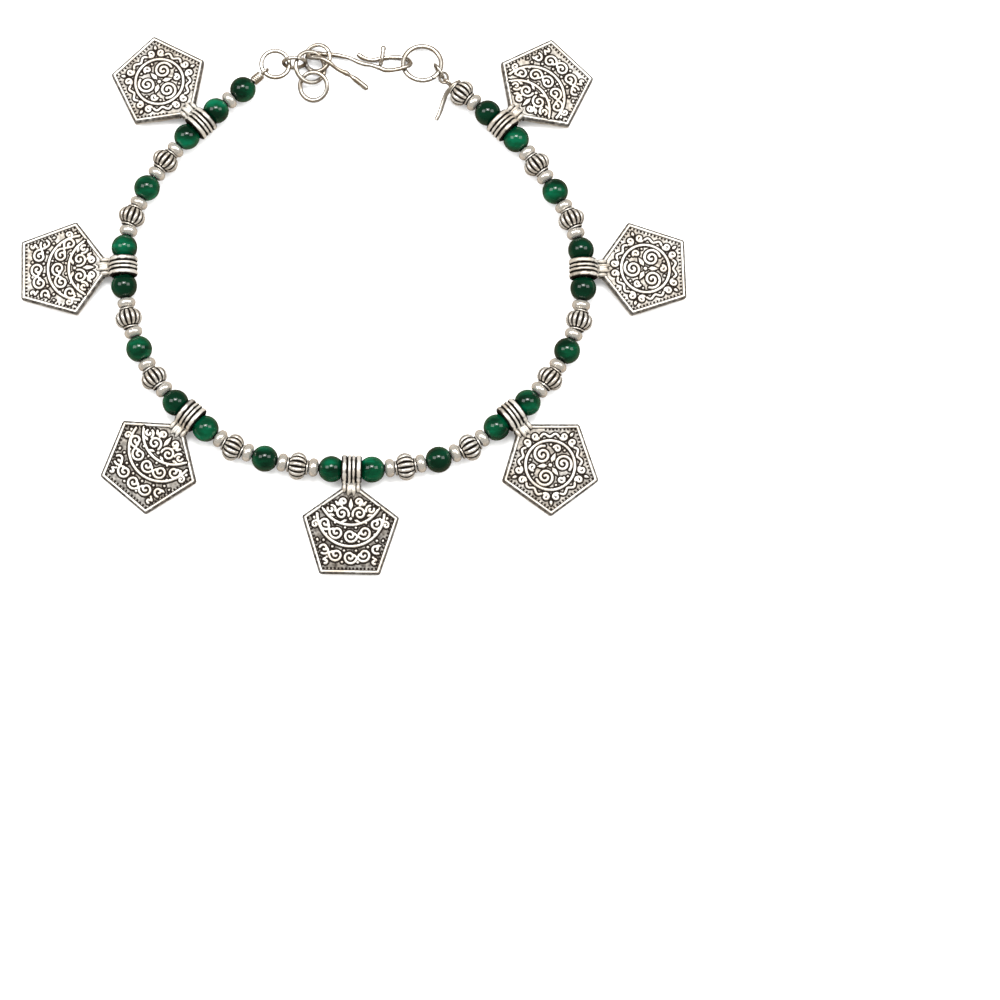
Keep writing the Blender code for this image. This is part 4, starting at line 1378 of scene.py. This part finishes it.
def end_piece(name, joint, direction, clasp, length, diameter, wire):
    """The wire at one end of the string: its close turns, then the eye that stands upright."""
    eye_steps = 28
    level = Vector((direction.x, direction.y, 0.0)).normalized()
    centre = joint + direction * (length + clasp.eye_radius - clasp.string_wire / 2)
    turns = helix(joint, direction, length, (diameter - wire) / 2, wire, 0.6)
    eye = []
    for step in range(1, eye_steps):
        angle = math.pi + math.tau * step / eye_steps
        rise = UP * (clasp.eye_radius * math.sin(angle))
        eye.append(centre + level * (clasp.eye_radius * math.cos(angle)) + rise)
    stem = [joint + direction * (length * share) for share in (0.1, 0.5, 0.95)]
    thicknesses = [wire] * len(turns) + [clasp.string_wire] * (len(eye) + len(stem))
    thicknesses[0] = wire * 0.6
    piece = wire_piece(name, [*turns, *reversed(eye), *reversed(stem)], thicknesses)
    offset = coordinates(piece) - np.array(joint)
    run = offset @ np.array(direction)
    reach = np.linalg.norm(offset - np.outer(run, np.array(direction)), axis=1)
    wrapped = run < length - 0.1 * MM
    valleys = smoothstep(reach, diameter / 2 - 0.04 * MM, diameter / 2 - 0.16 * MM)
    paint(piece, np.where(wrapped, 0.75 * valleys, 0.1))
    return piece


def route_point(origin, x, y, height):
    """A point of a route: millimetres from the origin in plan, and a height over the table."""
    return Vector((origin.x + x * MM, origin.y + y * MM, height * MM + ROUTE_LIFT))


def tail_piece(clasp, joint):
    """The loose end of the wire, thickest in its middle."""
    path = smooth_route([route_point(joint, *row) for row in TAIL_ROUTE], 6)
    last = len(path) - 1
    thicknesses = [
        clasp.tail_wire * (0.70 + 0.12 * step / last + 0.22 * math.sin(math.pi * step / last))
        for step in range(last + 1)
    ]
    tail = wire_piece("wire_tail", path, thicknesses)
    roughen(tail, 0.06 * MM, 0.8 * MM)
    paint(tail, wire_tarnish_and_side_shade(tail, 0.04))
    return tail


class ANKLET_OT_string(bpy.types.Operator):
    """Add the stringing wire with its wraps, its eyes and the loose tail."""

    bl_idname = "anklet.string"
    bl_label = "String and ends"

    def execute(self, context):
        beads, pendants, clasp, colours, _ = sizes(context)
        material = finish_material("wire_silver", colours)
        things = strung_things(beads, pendants)
        left_out, right_out = heading(*LEFT_END), heading(*RIGHT_END)
        left_joint = things[0]["centre"] + left_out * (green_reach(beads) - BEAD_GAP / 2)
        right_joint = things[-1]["centre"] + right_out * (beads.melon_length / 2 + BEAD_GAP / 2)
        route = [left_joint, *(thing["centre"] for thing in things), right_joint]
        path = smooth_route(route, 3)
        string = wire_piece("string_wire", path, [clasp.string_wire] * len(path))
        paint(string, np.full(len(string.data.vertices), 0.25))
        left = end_piece(
            "left_end_wrap", left_joint, left_out, clasp, clasp.wrap_length, clasp.wrap_diameter,
            clasp.wrap_wire,
        )
        right = end_piece(
            "right_end_wrap", right_joint, right_out, clasp, clasp.short_wrap_length,
            clasp.short_wrap_diameter, clasp.short_wrap_wire,
        )
        for piece in (string, left, right, tail_piece(clasp, right_joint)):
            smooth_shading(piece)
            finish(piece, material, "silver", "bead_string")
        return {"FINISHED"}


# Clasp

def degrees_from(turn, other):
    """The turn's distance from the other one, either way round; both in radians."""
    return np.degrees(np.abs(np.arctan2(np.sin(turn - other), np.cos(turn - other))))


def round_ring(name, row, place):
    """A bent jump ring with the cut where its wire meets."""
    piece = new_object(
        name, bpy.ops.mesh.primitive_torus_add, major_segments=RING_STEPS, minor_segments=16,
        major_radius=row["half_length"] * MM, minor_radius=row["wire"] * MM / 2,
        location=(0.0, 0.0, 0.0),
    )
    edit(piece)
    step = 360.0 / RING_STEPS
    cut = math.radians((math.floor(row["cut_bearing"] / step) + 0.5) * step)

    def at_cut(place):
        """A point beside the cut."""
        return degrees_from(math.atan2(place.y, place.x), cut) < 0.75 * step
    pick(piece, at_cut)
    bpy.ops.mesh.delete(type="ONLY_FACE")
    work = bmesh.from_edit_mesh(piece.data)
    loose = [edge for edge in work.edges if not edge.link_faces]
    bmesh.ops.delete(work, geom=loose, context="EDGES")
    bmesh.update_edit_mesh(piece.data)
    bpy.ops.mesh.select_all(action="DESELECT")
    bpy.ops.mesh.select_mode(type="EDGE")
    bpy.ops.mesh.select_non_manifold()
    bpy.ops.mesh.fill_holes(sides=0)
    tidy_surface()
    roughen(piece, 0.035 * MM, 1.0 * MM)
    points = coordinates(piece)
    beside_cut = degrees_from(np.arctan2(points[:, 1], points[:, 0]), cut)
    piece.data.transform(place)
    paint(piece, wire_tarnish_and_side_shade(piece, 0.04) + 0.4 * smoothstep(beside_cut, 1.6 * step, 0.6 * step))
    return piece


def oval_ring(name, row, node):
    """A closed oval link."""
    centre, long_way, square = ring_place(node)
    across = square.cross(long_way)
    count = 64
    points = []
    for step in range(count):
        along_it, across_it = polar(MM, 360.0 * step / count)
        points.append(
            centre + long_way * (row["half_length"] * along_it) + across * (row["half_width"] * across_it)
        )
    piece = wire_piece(name, points, [row["wire"] * MM] * count, closed=True)
    paint(piece, wire_tarnish_and_side_shade(piece, 0.06))
    return piece


class ANKLET_OT_rings(bpy.types.Operator):
    """Add the rings and links of the clasp."""

    bl_idname = "anklet.rings"
    bl_label = "Rings and links"

    def execute(self, context):
        _, _, _, colours, _ = sizes(context)
        material = finish_material("wire_silver", colours)
        for node, values in RINGS.items():
            row = dict(zip(RING_COLUMNS, values))
            if row["cut_bearing"] is None:
                piece = oval_ring(f"bent_{node}", row, node)
            else:
                piece = round_ring(f"bent_{node}", row, level_ring_place(node))
            sunk = node_points(node)[:, 2].min() - coordinates(piece)[:, 2].min()
            piece.data.transform(Matrix.Translation((0.0, 0.0, max(0.0, sunk))))
            smooth_shading(piece)
            finish(piece, material, "silver", node)
        return {"FINISHED"}


def hook_thicknesses(wire, count):
    """The hook's thickness at each step: uneven, and hammered wider behind its tip."""
    wide_steps, narrow_step, narrow_reach = 14, 9, 3.0
    thicknesses = [
        wire * (1.0 + 0.05 * math.sin(0.55 * step) + 0.04 * math.sin(0.21 * step + 1.0))
        for step in range(count)
    ]
    for step in range(wide_steps):
        dip = max(0.0, 1.0 - abs(step - narrow_step) / narrow_reach)
        thicknesses[step] *= 1.22 - 0.42 * dip
    thicknesses[-1] *= 0.8
    return thicknesses


class ANKLET_OT_hook(bpy.types.Operator):
    """Add the hammered hook with its ball tip and the tie across its bend."""

    bl_idname = "anklet.hook"
    bl_label = "Hook"

    def execute(self, context):
        _, _, clasp, colours, _ = sizes(context)
        left, right = middle("hook_ring"), middle("large_ring")
        points = [route_point(left.lerp(right, share), *row) for share, *row in HOOK_ROUTE]
        path = smooth_route(points, 6)
        hook = wire_piece("forged_hook", path, hook_thicknesses(clasp.hook_wire, len(path)), fineness=5)
        ball = round_piece("hook_tip", clasp.hook_ball / 2, points[0], (1.0, 1.0, 0.92))
        tie_points = [route_point(right, *row) for row in HOOK_TIE_ROUTE]
        tie_path = smooth_route(tie_points, 5)
        tie_thicknesses = [clasp.tie_wire] * len(tie_path)
        tie_thicknesses[0] = tie_thicknesses[-1] = clasp.tie_wire * 0.75
        tie = wire_piece("hook_tie", tie_path, tie_thicknesses, fineness=5)
        knob = round_piece("tie_knob", clasp.tie_knob / 2, tie_points[0], (1.0, 1.0, 0.9))
        unite(hook, [ball, tie, knob])
        roughen(hook, 0.16 * MM, 0.9 * MM)
        paint(hook, wire_tarnish_and_side_shade(hook, 0.05))
        smooth_shading(hook)
        finish(hook, finish_material("wire_silver", colours), "silver", "s_hook")
        return {"FINISHED"}


# Stage

# The photograph's side and the pixel of the target in it
PHOTO_SIDE = 1000
TARGET_PIXEL = (356.5, 294.2)
# Softboxes: name, bearing, height angle, distance, width, depth and power
SOFTBOXES = [
    ("top_softbox", 92.0, 74.0, 1.20, 0.66, 0.44, 6.5),
    ("top_lamp", 92.0, 74.0, 1.19, 0.32, 0.17, 4.6),
    ("left_softbox", 170.0, 52.0, 1.20, 0.46, 0.60, 5.8),
    ("right_softbox", 10.0, 52.0, 1.20, 0.46, 0.60, 5.3),
]
# Light of the room as surfaces get it, and as polished metal mirrors it
ROOM_FILL = (1.5, 1.5, 1.49)
ROOM_IN_METAL = (0.20, 0.175, 0.14)
FLOOR_IN_METAL = (0.16, 0.125, 0.09)


def seen_in_metal(tree, label, tone, mirrored_tone):
    """A colour that polished metal mirrors as another one."""
    mirrored_ray = add_node(tree, "ShaderNodeLightPath", "seen in the metal").outputs["Is Glossy Ray"]
    return add_mix(tree, label, mirrored_ray, tone, (*mirrored_tone, 1.0))


def add_floor(size, colour):
    """A plain pale floor with a little grain."""
    floor = new_object("floor", bpy.ops.mesh.primitive_plane_add, size=size, location=(0.0, 0.0, 0.0))
    material, tree, shader, place = base_material("matt_floor")
    grain = add_noise(tree, "paper grain", place, 900.0, 2.0)
    low = tuple(channel * 0.985 for channel in colour)
    tone = add_mix(tree, "paper tone", grain, (*low, 1.0), (*colour, 1.0))
    tone = seen_in_metal(tree, "darker in reflections", tone, FLOOR_IN_METAL)
    tree.links.new(tone, shader.inputs["Base Color"])
    shader.inputs["Roughness"].default_value = 0.9
    shader.inputs["Specular IOR Level"].default_value = 0.1
    floor.data.materials.append(material)


def add_softbox(target, name, bearing, height, distance, width, depth, power):
    """A rectangular lamp that faces the target."""
    direction = heading(bearing, height)
    light = new_object(name, bpy.ops.object.light_add, type="AREA", location=target + direction * distance)
    light.rotation_euler = direction.to_track_quat("Z", "Y").to_euler()
    light.data.shape = "RECTANGLE"
    light.data.size = width
    light.data.size_y = depth
    light.data.energy = power


def add_room(scene):
    """The pale light of the room."""
    world = bpy.data.worlds.new("soft_studio")
    world.use_nodes = True
    studio = world.node_tree
    room = seen_in_metal(studio, "dark room round the lights", (*ROOM_FILL, 1.0), ROOM_IN_METAL)
    studio.links.new(room, studio.nodes["Background"].inputs["Color"])
    scene.world = world
    scene.view_settings.view_transform = "Standard"


def add_camera(stage, target):
    """The camera at the photograph's angle and frame."""
    outward = Vector((0.0, -math.cos(stage.elevation), math.sin(stage.elevation)))
    place = target + outward * stage.distance
    camera = new_object("photo_camera", bpy.ops.object.camera_add, location=place)
    camera.rotation_euler = outward.to_track_quat("Z", "Y").to_euler()
    camera.data.sensor_width = 36.0
    camera.data.lens = stage.distance * camera.data.sensor_width / stage.view_width
    camera.data.shift_x = (PHOTO_SIDE / 2 - TARGET_PIXEL[0]) / PHOTO_SIDE
    camera.data.shift_y = (TARGET_PIXEL[1] - PHOTO_SIDE / 2) / PHOTO_SIDE
    camera.data.clip_start = 0.01
    camera.data.dof.use_dof = False
    return camera


class ANKLET_OT_stage(bpy.types.Operator):
    """Add the floor, the soft lights and the camera."""

    bl_idname = "anklet.stage"
    bl_label = "Stage"

    def execute(self, context):
        _, _, _, colours, stage = sizes(context)
        target = Vector(stage.target)
        add_floor(stage.floor_size, colours.floor)
        for row in SOFTBOXES:
            add_softbox(target, *row)
        add_room(context.scene)
        context.scene.camera = add_camera(stage, target)
        return {"FINISHED"}


class ANKLET_PT_panel(bpy.types.Panel):
    """Sizes, colours and the steps that build the anklet."""

    bl_idname = "ANKLET_PT_panel"
    bl_label = "Payal anklet"
    bl_space_type = "VIEW_3D"
    bl_region_type = "UI"
    bl_category = "Anklet"

    def draw(self, context):
        layout = self.layout
        for operator in OPERATORS:
            layout.operator(operator.bl_idname)
        for group in sizes(context):
            box = layout.box()
            for key in group.bl_rna.properties.keys():
                if key not in ("rna_type", "name"):
                    box.prop(group, key)


OPERATORS = (
    ANKLET_OT_green_beads, ANKLET_OT_silver_beads, ANKLET_OT_melon_beads, ANKLET_OT_pendants,
    ANKLET_OT_string, ANKLET_OT_rings, ANKLET_OT_hook, ANKLET_OT_stage,
)
SETTINGS = {
    "anklet_beads": AnkletBeadSizes,
    "anklet_pendants": AnkletPendantSizes,
    "anklet_clasp": AnkletClaspSizes,
    "anklet_colours": AnkletColours,
    "anklet_stage": AnkletStage,
}


def register():
    """Make the settings, the operators and the panel known to Blender."""
    for name, group in SETTINGS.items():
        bpy.utils.register_class(group)
        setattr(bpy.types.Scene, name, PointerProperty(type=group))
    for operator in (*OPERATORS, ANKLET_PT_panel):
        bpy.utils.register_class(operator)


def unregister():
    """Take them away again."""
    for operator in reversed((*OPERATORS, ANKLET_PT_panel)):
        bpy.utils.unregister_class(operator)
    for name, group in SETTINGS.items():
        delattr(bpy.types.Scene, name)
        bpy.utils.unregister_class(group)


def main():
    """Register the settings and operators, then build every piece in order."""
    register()
    bpy.ops.anklet.green_beads()
    bpy.ops.anklet.silver_beads()
    bpy.ops.anklet.melon_beads()
    bpy.ops.anklet.pendants()
    bpy.ops.anklet.string()
    bpy.ops.anklet.rings()
    bpy.ops.anklet.hook()
    bpy.ops.anklet.stage()


if __name__ == "__main__":
    main()
